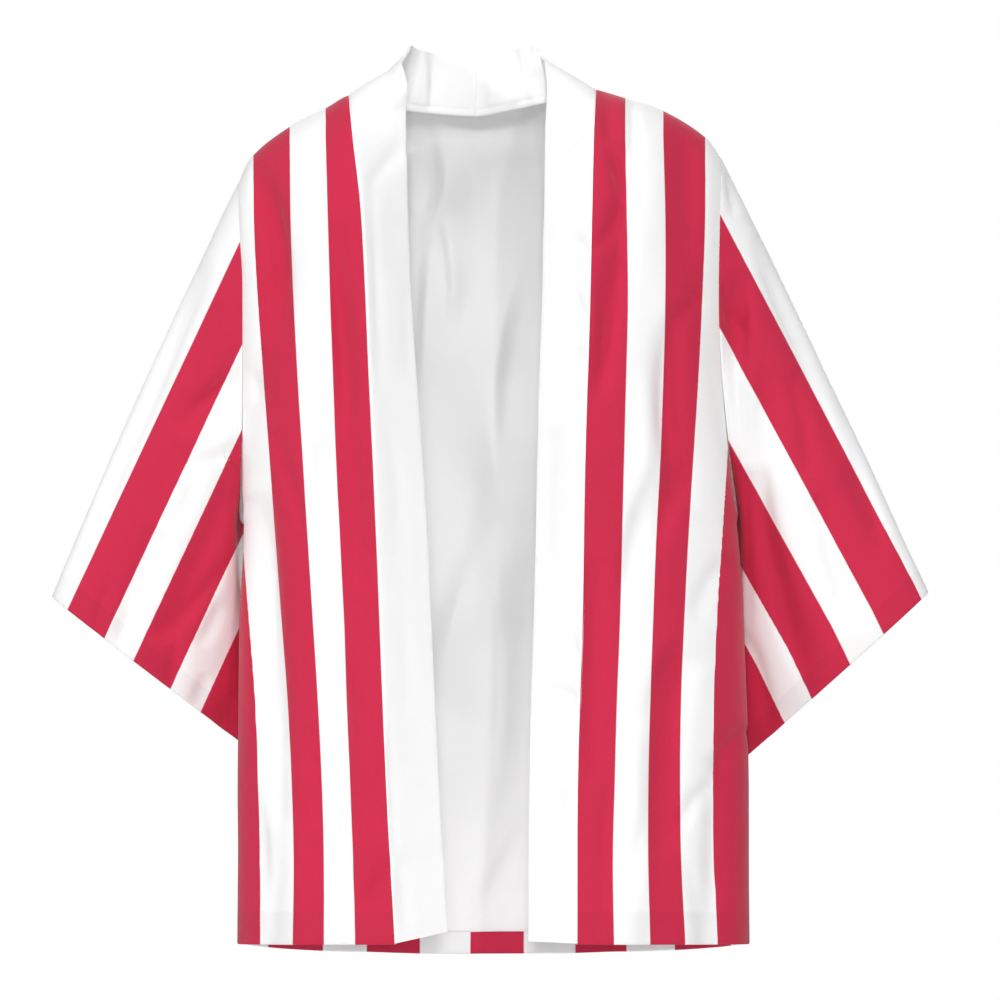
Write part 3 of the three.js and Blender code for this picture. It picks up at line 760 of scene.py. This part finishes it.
def grid_corners(grid, ring, outward):
    """Rows and columns of each face's four corners, so ordered that it looks outward."""
    rows, columns = grid.shape[:2]
    spans = columns if ring else columns - 1
    i, j = np.meshgrid(np.arange(rows - 1), np.arange(spans), indexing="ij")
    i, j = i.ravel(), j.ravel()
    corners = [(i, j), (i + 1, j), (i + 1, j + 1), (i, j + 1)]
    down, along = grid[i + 1, j] - grid[i, j], grid[i, (j + 1) % columns] - grid[i, j]
    if np.sum(np.cross(down, along) * outward[i, j]) < 0:
        corners.reverse()
    return corners


def at_corners(layers, corners):
    """Pairs of values at the corners of each face, in the order of the mesh's loops."""
    values = [np.stack([layer[r, c] for r, c in corners], -1) for layer in layers]
    return np.stack(values, -1).reshape(-1, 2)


def grid_mesh(name, grid, corners, ends=()):
    """A mesh of the grid's faces in metres, with end faces where a ring is closed off."""
    columns = grid.shape[1]
    faces = np.stack([r * columns + c % columns for r, c in corners], -1).tolist()
    mesh = bpy.data.meshes.new(name)
    mesh.from_pydata((grid.reshape(-1, 3) * MM).tolist(), [], [*faces, *ends])
    return mesh


def place_piece(name, mesh):
    """Puts the mesh in the scene as a piece, selected alone."""
    piece = bpy.data.objects.new(name, mesh)
    bpy.context.scene.collection.objects.link(piece)
    bpy.ops.object.select_all(action="DESELECT")
    piece.select_set(True)
    bpy.context.view_layer.objects.active = piece
    return piece


def finish_piece(piece):
    """Applies the modifiers of the selected piece and shades it smooth."""
    for modifier in list(piece.modifiers):
        bpy.ops.object.modifier_apply(modifier=modifier.name)
    bpy.ops.object.shade_smooth_by_angle(angle=math.radians(SHARP_DEGREES))


class Sheet:
    """A grid of points with its stripe count, from which a piece of cloth is made."""

    def __init__(self, grid, stripes, ring=False, centre=(0, 0, 0)):
        self.grid = grid
        self.stripes = stripes
        self.ring = ring
        self.hem_row = len(grid) - 1
        self.normals = grid_normals(grid, ring, centre)

    def hem(self, spacing, height):
        """Turns the lower edge up against the inside."""
        grid, sources = with_turned_hem(self.grid, self.normals, spacing, height)
        self.grid = grid
        self.stripes = np.concatenate([self.stripes, self.stripes[sources]])
        self.normals = np.concatenate([self.normals, self.normals[sources]])

    def turn_in(self, edge, axis, lap=SEAM_LAP):
        """Leads the first or last row or column in behind its neighbour."""
        self.grid = turned_in(self.grid, self.normals, edge, axis, lap)
        self.stripes = pad(self.stripes, edge, axis)
        self.normals = pad(self.normals, edge, axis)
        if axis == 0 and edge == 0:
            self.hem_row += 1

    def flat(self):
        """Places on the cut cloth in metres: along the rows, and up from the hem."""
        closed = round_again(self.grid) if self.ring else self.grid
        u = arc_lengths(closed, 1)
        v = arc_lengths(closed, 0)
        return u * MM, (v[self.hem_row : self.hem_row + 1] - v) * MM

    def build(self, name, thickness, materials):
        """Makes the piece, with its outer and its inner material."""
        corners = grid_corners(self.grid, self.ring, self.normals)
        mesh = grid_mesh(name, self.grid, corners)
        u, v = self.flat()
        stripes = round_again(self.stripes) if self.ring else self.stripes
        for layer, pair in (("cloth", (u, v)), ("stripes", (stripes, v))):
            places = at_corners(pair, corners).reshape(-1)
            mesh.uv_layers.new(name=layer).data.foreach_set("uv", places)
        for material in materials:
            mesh.materials.append(material)
        piece = place_piece(name, mesh)
        solidify = piece.modifiers.new("thickness", "SOLIDIFY")
        solidify.thickness = thickness
        solidify.offset = 0
        solidify.material_offset = 1
        solidify.material_offset_rim = 1
        finish_piece(piece)
        return piece


def declare(piece, nodes):
    """Hangs the piece on the root and hides the parts that it stands for."""
    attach(piece, "root")
    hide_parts(*nodes)


def front_stripe_count(side_name, grid):
    """Stripes counted from the band seam, then on round the side to the side seam."""
    x, z = seen(grid)
    distance = np.abs(x)
    edges = [np.broadcast_to(distance[:, -1:], x.shape)]
    edges += [edge(z) for edge in FRONT_STRIPES[side_name]]
    edges.append(edges[-1] + SIDE_STRIPE_RUN)
    count = np.zeros(x.shape)
    for near, far in zip(edges, edges[1:]):
        count += np.clip((distance - near) / (far - near), 0, 1)
    return np.clip(count, *FRONT_COUNT)


def back_stripe_count(grid):
    """Stripes counted across the back, from the wearer's right."""
    x, _ = seen(grid)
    return BACK_FIRST_STRIPE + np.interp(x, BACK_STRIPES, np.arange(len(BACK_STRIPES)))


def sleeve_stripe_count(side_name, grid):
    """Stripes counted down from the sleeve's top edge, half of the first one left out."""
    x, z = seen(grid)
    start, end = SLEEVE_TOP_EDGE[side_name]
    run = end - start
    length = np.hypot(*run)
    along = ((x - start[0]) * run[0] + (z - start[1]) * run[1]) / length**2
    off = ((x - start[0]) * run[1] - (z - start[1]) * run[0]) / length
    off *= np.sign(np.mean(off))
    count = np.full(x.shape, -0.5)
    first, last = ([0.0, *edges] for edges in SLEEVE_STRIPES[side_name])
    for i in range(len(first) - 1):
        near = lerp(first[i], last[i], np.clip(along, 0, 1))
        far = lerp(first[i + 1], last[i + 1], np.clip(along, 0, 1))
        share = np.clip((off - near) / (far - near), 0, 1)
        count += share * (0.5 if i == 0 else 1)
    return count


def armhole_loop(name):
    """Points round an armhole, down the front and up the back, with their neighbours.

    The last value is the way out of the body, from the panels into the sleeve.
    """
    back, fronts = body()
    front = fronts[name]
    edge, inner = SIDES[name].back_edge
    count = ARMHOLE_ROWS * ROW_STEPS
    down, up = np.arange(count + 1), np.arange(count - 1, 0, -1)
    loop = np.concatenate([front[down, 0], back[up, edge]])
    before, after = np.roll(loop, 1, 0), np.roll(loop, -1, 0)
    rows = np.concatenate([down, up])
    into_front = into_piece(loop, front[rows, 1], before, after)
    into_back = into_piece(loop, back[rows, inner], before, after)
    place = np.arange(2 * count)
    on_front = (place <= count)[:, None]
    on_back = ((place >= count) | (place == 0))[:, None]
    return loop, before, after, -unit(into_front * on_front + into_back * on_back)


def sleeve_turns():
    """Angle of each point round a sleeve, from the shoulder down its front."""
    points = 2 * ARMHOLE_ROWS * ROW_STEPS
    return 2 * np.pi * np.arange(points) / points


def sleeve_tube(side, loop):
    """Rows of points round a sleeve, from the armhole to the cuff."""
    turns = sleeve_turns()
    low = (1 - np.cos(turns)) / 2
    middle = (side.cuff_top + side.cuff_low) / 2
    cuff = middle + np.cos(turns)[:, None] * (side.cuff_top - middle)
    cuff[:, 1] -= CUFF_HALF_DEPTH * np.sin(turns)
    share = np.linspace(0, 1, SLEEVE_STEPS + 1)[:, None, None]
    grid = lerp(loop[None], cuff[None], share)
    bow = side.bow * np.sin(np.pi * share[..., 0]) * np.maximum(np.cos(turns), 0)
    swing = UNDERARM_SWING * np.sin(np.pi * np.sqrt(share[..., 0])) * low**2
    grid[..., 0] += side.sign * (bow + swing)
    return grid


def fold_sleeve(grid, name, centre):
    """Presses a sleeve's folds and creases in, fading towards its edges and its armhole."""
    sine = np.sin(sleeve_turns())[None, :]
    rows = SLEEVE_ROWS * np.linspace(0, 1, SLEEVE_STEPS + 1)[:, None]

    def pressed(grid, table, places, waves, first_rows):
        front, back = (
            fold_depth(table[f"sleeve_{name}_{face}"], *places)
            for face in ("front", "back")
        )
        depth = np.where(sine > 0, front, back) * np.minimum(1, 2 * np.abs(sine)) + waves
        depth *= ease(rows / first_rows)
        return grid - grid_normals(grid, True, centre) * depth[..., None]

    grid = pressed(grid, FOLDS, (grid[..., 0], grid[..., 2]), 0, SLEEVE_FOLD_ROWS)
    waves = crumple(grid, WAVE_SEEDS[f"sleeve_{name}"], *SLEEVE_WAVES)
    return pressed(grid, CREASES, seen(grid), waves, SLEEVE_CREASE_ROWS)


def sleeve_surface(name, cloth):
    """A sleeve's folded grid, and a point on its axis that it faces away from."""
    side = SIDES[name]
    loop, before, after, reach = armhole_loop(name)
    low = (1 - np.cos(sleeve_turns())) / 2  # 0 at the shoulder, 1 at the underarm
    into = into_piece(loop, sleeve_tube(side, loop)[1], before, after)
    start = loop + seam_shift(reach, into, cloth)
    start[:, 0] += side.sign * ARMPIT_EASE * low**6
    centre = (side.cuff_top + loop[len(loop) // 2]) / 2
    return fold_sleeve(sleeve_tube(side, start), name, centre), centre


def band_section(half):
    """Points round the band's doubled cloth: place across its width, and half thickness."""
    flat_end, bend = (BAND_WIDTH - back for back in BAND_ROUNDING)
    across_band = np.linspace(0, flat_end, BAND_STEPS + 1)
    swell = half * (0.5 + 0.5 * ease(across_band / BAND_SWELL))
    outer = list(zip(across_band, swell))
    fold = [(bend, 0.75 * half), (BAND_WIDTH, 0), (bend, -0.75 * half)]
    inner = [(place, -thick) for place, thick in reversed(outer) if place > BAND_SWELL]
    return np.array(outer + fold + inner + list(BAND_LIP))


def finer(values):
    """Puts steps between the first rows, those from the centre back to the neck point."""
    start = np.linspace(0, NECK_STEPS, NECK_STEPS * BAND_FINENESS, endpoint=False)
    at = np.concatenate([start, np.arange(NECK_STEPS, len(values))])
    low = np.minimum(at.astype(int), len(values) - 2)
    share = (at - low).reshape(-1, *[1] * (values.ndim - 1))
    return lerp(values[low], values[low + 1], share)


def band_seam(name, half):
    """The band's sewn edge, down from the centre back, and the way to its folded edge."""
    side = SIDES[name]
    back, fronts = body()
    front = fronts[name]
    columns = SHOULDER_STEPS + NECK_STEPS + side.sign * np.arange(NECK_STEPS)
    seam = np.concatenate([back[0, columns], front[:, -1]])
    inner = np.concatenate([back[1, columns], front[:, -2]])
    neck_z = ridge(side.sign * side.neck_x)
    down = 1 + (neck_z - front[:, -1, 2]) / (neck_z - FRONT_HEM_Z)
    stage = np.concatenate([np.arange(NECK_STEPS) / NECK_STEPS, down])
    heading, rise = np.radians(side.heading(stage)), np.radians(side.rise(stage))
    width = np.stack(
        [
            -side.sign * np.cos(heading) * np.cos(rise),
            np.sin(heading) * np.cos(rise),
            np.sin(rise),
        ],
        -1,
    )
    before, after = neighbours(seam)
    reach = -into_piece(seam, inner, before, after)
    return finer(seam + seam_shift(reach, width, half)), unit(finer(width))


def band_rings(name, half):
    """Rings of points round the doubled band, from the centre back down the front."""
    seam, width = band_seam(name, half)
    steps = BAND_FINENESS * BAND_STEPS
    places = np.linspace(0, BAND_WIDTH, steps + 1)
    middle = seam[:, None] + width[:, None] * places[None, :, None]
    depth = fold_depth(CREASES[f"band_{name}"], *seen(middle))
    depth += crumple(middle, WAVE_SEEDS[f"band_{name}"], *BAND_WAVES)
    depth *= ease(places / BAND_SWELL)[None, :]
    middle = middle - grid_normals(middle) * depth[..., None]
    normals = grid_normals(middle)
    section = band_section(half)
    at = section[:, 0] / BAND_WIDTH * steps
    low = np.clip(at.astype(int), 0, steps - 1)
    centres, outwards = (
        lerp(grid[:, low], grid[:, low + 1], (at - low)[None, :, None])
        for grid in (middle, normals)
    )
    pinch = np.ones(len(middle))
    pinch[: len(CENTRE_BACK_PINCH)] = CENTRE_BACK_PINCH
    rings = centres + outwards * (pinch[:, None] * section[:, 1])[..., None]
    draw = (CENTRE_BACK_GAP + BAND_CLOTH * np.abs(normals[0, :, 0].mean())) / 2
    rings[0, :, 0] = CENTRE_BACK_X + SIDES[name].sign * draw
    return rings


def build_band(name, thickness, material):
    """Makes one half of the neckband, closed off at the centre back and at the hem."""
    rings = band_rings(name, thickness / 2)
    rows, columns = rings.shape[:2]
    corners = grid_corners(rings, True, rings - rings.mean(axis=1, keepdims=True))
    loop = np.arange(columns)
    ends = [(loop + row * columns).tolist() for row in (0, rows - 1)]
    mesh = grid_mesh(f"neckband_{name}", rings, corners, ends)
    closed = round_again(rings)
    u = arc_lengths(closed, 1) * MM
    v = arc_lengths(closed, 0)
    v = (v[-1:] - v) * MM
    caps = [np.stack([u[row, loop], v[row, loop]], -1) for row in (0, -1)]
    places = np.concatenate([at_corners((u, v), corners), *caps]).reshape(-1)
    mesh.uv_layers.new(name="cloth").data.foreach_set("uv", places)
    mesh.materials.append(material)
    piece = place_piece(f"neckband_{name}", mesh)
    bpy.ops.object.mode_set(mode="EDIT")
    bpy.ops.mesh.select_all(action="SELECT")
    bpy.ops.mesh.normals_make_consistent(inside=False)
    bpy.ops.object.mode_set(mode="OBJECT")
    finish_piece(piece)
    return piece


# ---- Materials -----------------------------------------------------------------------

# Darker tone of each colour; painted shade on a doubled hem, as the share of light left
WHITE_SHADE = 0.96
RED_SHADE = 0.93
HEM_PAINTED_SHADE = 0.94
HEM_SHADE_BLUR = 0.001  # metres over which a hem's tone sets in
PRINT_EDGE = 0.03  # softness of the print's edge, as a share of a stripe's wave
# Threads of about 0.3 mm are too fine to show, so they are drawn about 1.4 mm apart, uneven
# and stretched along their run
THREAD_RUNS = ((700.0, 90.0, 1.0), (90.0, 700.0, 1.0))


def linear(code):
    """An sRGB hex colour as linear red, green and blue."""
    parts = [int(code[i : i + 2], 16) / 255 for i in (0, 2, 4)]
    return [p / 12.92 if p <= 0.04045 else ((p + 0.055) / 1.055) ** 2.4 for p in parts]


def add_node(tree, kind, inputs=(), **settings):
    """Adds a node with its settings, and links or sets its inputs."""
    node = tree.nodes.new(kind)
    for name, value in settings.items():
        setattr(node, name, value)
    for socket, value in dict(inputs).items():
        if isinstance(value, bpy.types.NodeSocket):
            tree.links.new(value, node.inputs[socket])
        else:
            node.inputs[socket].default_value = value
    return node


def toned(tree, tone, light, dark):
    """A colour that varies between a lighter and a darker tone."""
    return add_node(
        tree,
        "ShaderNodeMix",
        {0: tone, 6: (*light, 1), 7: (*dark, 1)},
        data_type="RGBA",
    ).outputs[2]


def printed(tree, ground, ink):
    """Stripes of ink on the ground: each odd stripe of the sheet's own count is printed."""
    count = add_node(tree, "ShaderNodeUVMap", uv_map="stripes").outputs["UV"]
    count = add_node(tree, "ShaderNodeSeparateXYZ", {"Vector": count}).outputs["X"]
    half_turns = add_node(
        tree, "ShaderNodeMath", {0: count, 1: math.pi}, operation="MULTIPLY"
    ).outputs[0]
    wave = add_node(tree, "ShaderNodeMath", {0: half_turns}, operation="SINE").outputs[0]
    on_stripe = add_node(
        tree,
        "ShaderNodeMapRange",
        {"Value": wave, "From Min": -PRINT_EDGE, "From Max": PRINT_EDGE},
    ).outputs["Result"]
    return add_node(
        tree, "ShaderNodeMix", {0: on_stripe, 6: ground, 7: ink}, data_type="RGBA"
    ).outputs[2]


def paint_hem_shade(tree, colour, height, hem):
    """Paints a little shade on a hem, whose second layer takes the light from behind."""
    above = add_node(
        tree, "ShaderNodeMath", {0: height, 1: hem}, operation="SUBTRACT"
    ).outputs[0]
    single = add_node(
        tree,
        "ShaderNodeMapRange",
        {"Value": above, "From Min": -HEM_SHADE_BLUR, "From Max": HEM_SHADE_BLUR},
    ).outputs["Result"]
    share = add_node(
        tree, "ShaderNodeMapRange", {"Value": single, "To Min": HEM_PAINTED_SHADE, "To Max": 1.0}
    ).outputs["Result"]
    return add_node(
        tree, "ShaderNodeVectorMath", {0: colour, "Scale": share}, operation="SCALE"
    ).outputs[0]


def woven(tree, flat, place):
    """The surface's slope from its threads, and from small crumples."""
    threads = {}
    for way, run in enumerate(THREAD_RUNS):
        stretched = add_node(
            tree, "ShaderNodeMapping", {"Vector": flat, "Scale": run}
        ).outputs["Vector"]
        threads[way] = add_node(
            tree, "ShaderNodeTexNoise", {"Vector": stretched, "Scale": 1.0, "Detail": 1.0}
        ).outputs["Fac"]
    height = add_node(tree, "ShaderNodeMath", threads).outputs[0]
    weave = add_node(
        tree, "ShaderNodeBump", {"Height": height, "Strength": 0.25, "Distance": 0.0003}
    ).outputs["Normal"]
    crumples = add_node(
        tree, "ShaderNodeTexNoise", {"Vector": place, "Scale": 38.0, "Detail": 2.0}
    ).outputs["Fac"]
    return add_node(
        tree,
        "ShaderNodeBump",
        {"Height": crumples, "Strength": 0.3, "Distance": 0.002, "Normal": weave},
    ).outputs["Normal"]


def cloth_material(name, colour, hem=None, stripe=None):
    """Plain-weave polyester: matt, with a soft sheen, faint threads and small crumples."""
    material = bpy.data.materials.new(name)
    material.use_nodes = True
    tree = material.node_tree
    tree.nodes.clear()
    flat = add_node(tree, "ShaderNodeUVMap", uv_map="cloth").outputs["UV"]
    place = add_node(tree, "ShaderNodeTexCoord").outputs["Object"]
    # Uneven tone, as cloth has where it was pressed and handled
    tone = add_node(
        tree, "ShaderNodeTexNoise", {"Vector": place, "Scale": 14.0, "Detail": 3.0}
    ).outputs["Fac"]
    base = toned(tree, tone, colour, [WHITE_SHADE * part for part in colour])
    if stripe:
        ink = toned(tree, tone, stripe, [RED_SHADE * part for part in stripe])
        base = printed(tree, base, ink)
    # Painted shade over the doubled hem, up to the hem's height
    if hem:
        height = add_node(tree, "ShaderNodeSeparateXYZ", {"Vector": flat}).outputs["Y"]
        base = paint_hem_shade(tree, base, height, hem)
    shader = add_node(
        tree,
        "ShaderNodeBsdfPrincipled",
        {
            "Base Color": base,
            "Roughness": 0.82,
            "IOR": 1.46,
            "Specular IOR Level": 0.25,
            "Sheen Weight": 0.12,
            "Sheen Roughness": 0.5,
            "Normal": woven(tree, flat, place),
        },
    )
    add_node(tree, "ShaderNodeOutputMaterial", {"Surface": shader.outputs[0]})
    return material


def plain_material(name, colour, roughness):
    """Matt paint on the stage."""
    material = bpy.data.materials.new(name)
    material.use_nodes = True
    shader = material.node_tree.nodes["Principled BSDF"]
    shader.inputs["Base Color"].default_value = (*colour, 1)
    shader.inputs["Roughness"].default_value = roughness
    return material


@lru_cache(maxsize=None)
def materials():
    """The four cloths, made once from the colours and hems in the settings."""
    colours = bpy.context.scene.kimono_colours
    sizes = bpy.context.scene.kimono_sizes
    white, red = tuple(colours.white), tuple(colours.red)
    return SimpleNamespace(
        striped=cloth_material("printed_polyester_stripes", white, sizes.hem, red),
        sleeve=cloth_material("printed_polyester_sleeve", white, sizes.cuff, red),
        inside=cloth_material("polyester_inside", tuple(colours.inside)),
        band=cloth_material("plain_polyester_band", white),
    )


# ---- Settings ------------------------------------------------------------------------

class KimonoSizes(bpy.types.PropertyGroup):
    """Thicknesses and heights that a user may change, in metres"""

    cloth: bpy.props.FloatProperty(
        name="Cloth", description="Thickness of one layer of cloth", default=0.0009,
        min=0.0003, max=0.0015, subtype="DISTANCE", unit="LENGTH",
    )
    band: bpy.props.FloatProperty(
        name="Neckband", description="Thickness of the doubled neckband", default=0.0022,
        min=0.001, max=0.0024, subtype="DISTANCE", unit="LENGTH",
    )
    hem: bpy.props.FloatProperty(
        name="Front hem", description="Height of the fronts' turned-up hems", default=0.028,
        min=0.008, max=0.03, subtype="DISTANCE", unit="LENGTH",
    )
    back_hem: bpy.props.FloatProperty(
        name="Back hem", description="Height of the back's turned-up hem", default=0.02,
        min=0.008, max=0.03, subtype="DISTANCE", unit="LENGTH",
    )
    cuff: bpy.props.FloatProperty(
        name="Cuff", description="Height of the turned-in cuffs", default=0.022,
        min=0.008, max=0.03, subtype="DISTANCE", unit="LENGTH",
    )
    floor: bpy.props.FloatProperty(
        name="Floor", description="Height of the floor", default=-1.02,
        subtype="DISTANCE", unit="LENGTH",
    )


class KimonoColours(bpy.types.PropertyGroup):
    """Colours of the cloth"""

    red: bpy.props.FloatVectorProperty(
        name="Red", description="Printed stripes", default=linear("CC294A"),
        size=3, min=0, max=1, subtype="COLOR",
    )
    white: bpy.props.FloatVectorProperty(
        name="White", description="Ground and neckband", default=linear("FAFAFA"),
        size=3, min=0, max=1, subtype="COLOR",
    )
    inside: bpy.props.FloatVectorProperty(
        name="Inside", description="Unprinted inside of the cloth",
        default=linear("FAFAFA"), size=3, min=0, max=1, subtype="COLOR",
    )


# ---- Operators -----------------------------------------------------------------------

class AddCamera(bpy.types.Operator):
    """Add the camera, straight in front of the shirt"""

    bl_idname = "kimono.add_camera"
    bl_label = "Camera"

    def execute(self, context):
        data = bpy.data.cameras.new("front_camera")
        data.lens = 320
        data.sensor_width = 36
        data.clip_end = 60
        camera = bpy.data.objects.new("front_camera", data)
        camera.location = EYE * MM
        camera.rotation_euler = (math.radians(90), 0, 0)
        context.scene.collection.objects.link(camera)
        context.scene.camera = camera
        return {"FINISHED"}


class AddStage(bpy.types.Operator):
    """Add the pale floor, the backdrop and soft lights"""

    bl_idname = "kimono.add_stage"
    bl_label = "Stage"

    # Name, place, diameter and power in watts
    LIGHTS = (
        ("key_light", (-5.2, -3.2, 1.6), 1.2, 104),
        ("front_light", (0.0, -6.0, 3.4), 0.6, 178),
        ("fill_light", (-0.2, -7.4, -0.2), 0.5, 62),
        ("right_light", (1.7, -7.2, 0.1), 0.3, 44),
        ("side_light", (4.6, -4.2, 1.2), 1.4, 36),
        ("top_light", (0.0, -1.2, 4.4), 2.4, 58),
        ("back_light", (0.6, 4.6, 2.2), 3.6, 105),
    )
    AIM = (0, 0, -0.38)

    def execute(self, context):
        self.light_room(context.scene)
        floor = self.add_floor(context)
        self.add_backdrop(context)
        for light in self.LIGHTS:
            self.add_light(context.scene, *light)
        return {"FINISHED"}

    def light_room(self, scene):
        world = bpy.data.worlds.new("studio")
        world.use_nodes = True
        background = world.node_tree.nodes["Background"]
        background.inputs["Color"].default_value = (1, 1, 1, 1)
        background.inputs["Strength"].default_value = 0.18
        scene.world = world
        scene.view_settings.view_transform = "Standard"

    def add_floor(self, context):
        bpy.ops.object.select_all(action="DESELECT")
        bpy.ops.mesh.primitive_circle_add(
            vertices=96, radius=2.4, fill_type="NGON", location=(0, 0, 0)
        )
        floor = context.object
        floor.name = "floor"
        height = context.scene.kimono_sizes.floor
        floor.data.transform(Matrix.Translation((0, 0, height)))
        floor.data.materials.append(plain_material("pale_floor", linear("F4F4F4"), 0.9))
        return floor

    def add_backdrop(self, context):
        bpy.ops.object.select_all(action="DESELECT")
        bpy.ops.mesh.primitive_uv_sphere_add(segments=48, ring_count=24, radius=24)
        dome = context.object
        dome.name = "backdrop"
        dome.data.flip_normals()
        material = bpy.data.materials.new("white_backdrop")
        material.use_nodes = True
        tree = material.node_tree
        tree.nodes.clear()
        glow = add_node(
            tree, "ShaderNodeEmission", {"Color": (1, 1, 1, 1), "Strength": 1.0}
        )
        add_node(tree, "ShaderNodeOutputMaterial", {"Surface": glow.outputs[0]})
        dome.data.materials.append(material)
        dome.visible_diffuse = False
        dome.visible_glossy = False
        dome.visible_transmission = False
        dome.visible_shadow = False
        return dome

    def add_light(self, scene, name, place, size, watts):
        data = bpy.data.lights.new(name, "AREA")
        data.shape = "DISK"
        data.size = size
        data.energy = watts
        light = bpy.data.objects.new(name, data)
        light.location = place
        aim = Vector(self.AIM) - Vector(place)
        light.rotation_euler = aim.to_track_quat("-Z", "Y").to_euler()
        scene.collection.objects.link(light)


class AddBack(bpy.types.Operator):
    """Add the back panel with its turned-up hem"""

    bl_idname = "kimono.add_back"
    bl_label = "Back"

    def execute(self, context):
        sizes = context.scene.kimono_sizes
        grid, _ = open_seams(sizes.cloth / MM)
        sheet = Sheet(grid, back_stripe_count(grid))
        sheet.hem(BACK_HEM_SPACING, sizes.back_hem / MM)
        at_armhole = np.arange(len(sheet.grid)) < ARMHOLE_ROWS * ROW_STEPS
        lap = np.where(at_armhole, SEAM_LAP, SIDE_SEAM_LAP)[:, None, None]
        sheet.turn_in(0, 1, lap)
        sheet.turn_in(-1, 1, lap)
        made = materials()
        piece = sheet.build("back_panel", sizes.cloth, (made.striped, made.inside))
        declare(piece, ("back", "hem_turn_back"))
        return {"FINISHED"}


class AddFronts(bpy.types.Operator):
    """Add the two front panels with their turned-up hems"""

    bl_idname = "kimono.add_fronts"
    bl_label = "Fronts"

    # Cut cloth in square metres
    AREAS = {"right": 0.147, "left": 0.158}

    def execute(self, context):
        sizes = context.scene.kimono_sizes
        made = materials()
        _, fronts = open_seams(sizes.cloth / MM)
        for name, grid in fronts.items():
            sheet = Sheet(grid, front_stripe_count(name, grid))
            sheet.hem(HEM_SPACING, sizes.hem / MM)
            sheet.turn_in(0, 1)
            sheet.turn_in(0, 0)
            piece = sheet.build(
                f"front_panel_{name}", sizes.cloth, (made.striped, made.inside)
            )
            nodes = (f"front_{name}",)
            declare(piece, nodes)
        return {"FINISHED"}


class AddSleeves(bpy.types.Operator):
    """Add the two wide sleeves with their turned-in cuffs"""

    bl_idname = "kimono.add_sleeves"
    bl_label = "Sleeves"

    # Cut cloth in square metres
    AREAS = {"right": 0.141, "left": 0.151}

    def execute(self, context):
        sizes = context.scene.kimono_sizes
        made = materials()
        for name in SIDES:
            grid, centre = sleeve_surface(name, sizes.cloth / MM)
            sheet = Sheet(grid, sleeve_stripe_count(name, grid), True, centre)
            sheet.hem(HEM_SPACING, sizes.cuff / MM)
            piece = sheet.build(
                f"sleeve_cloth_{name}", sizes.cloth, (made.sleeve, made.inside)
            )
            nodes = (f"sleeve_{name}",)
            declare(piece, nodes)
        return {"FINISHED"}


class AddNeckband(bpy.types.Operator):
    """Add the doubled neckband, in two halves joined at the centre back"""

    bl_idname = "kimono.add_neckband"
    bl_label = "Neckband"

    def execute(self, context):
        sizes = context.scene.kimono_sizes
        made = materials()
        for name in SIDES:
            piece = build_band(name, sizes.band / MM, made.band)
            declare(piece, (f"band_{name}",))
        return {"FINISHED"}


class KimonoPanel(bpy.types.Panel):
    """The shirt's pieces and settings"""

    bl_idname = "VIEW3D_PT_kimono_shirt"
    bl_label = "Kimono Shirt"
    bl_space_type = "VIEW_3D"
    bl_region_type = "UI"
    bl_category = "Kimono Shirt"

    def draw(self, context):
        layout = self.layout
        for group in (context.scene.kimono_sizes, context.scene.kimono_colours):
            for name in group.__annotations__:
                layout.prop(group, name)
        for operator in OPERATORS:
            layout.operator(operator.bl_idname)


OPERATORS = (AddCamera, AddStage, AddBack, AddFronts, AddSleeves, AddNeckband)
CLASSES = (KimonoSizes, KimonoColours, *OPERATORS, KimonoPanel)


def register():
    """Registers the settings, the operators and the panel."""
    for cls in CLASSES:
        bpy.utils.register_class(cls)
    bpy.types.Scene.kimono_sizes = bpy.props.PointerProperty(type=KimonoSizes)
    bpy.types.Scene.kimono_colours = bpy.props.PointerProperty(type=KimonoColours)


def unregister():
    """Takes everything back out, last one first."""
    del bpy.types.Scene.kimono_colours
    del bpy.types.Scene.kimono_sizes
    for cls in reversed(CLASSES):
        bpy.utils.unregister_class(cls)


def main():
    register()
    bpy.ops.kimono.add_camera()
    bpy.ops.kimono.add_stage()
    bpy.ops.kimono.add_back()
    bpy.ops.kimono.add_fronts()
    bpy.ops.kimono.add_sleeves()
    bpy.ops.kimono.add_neckband()


if __name__ == "__main__":
    main()
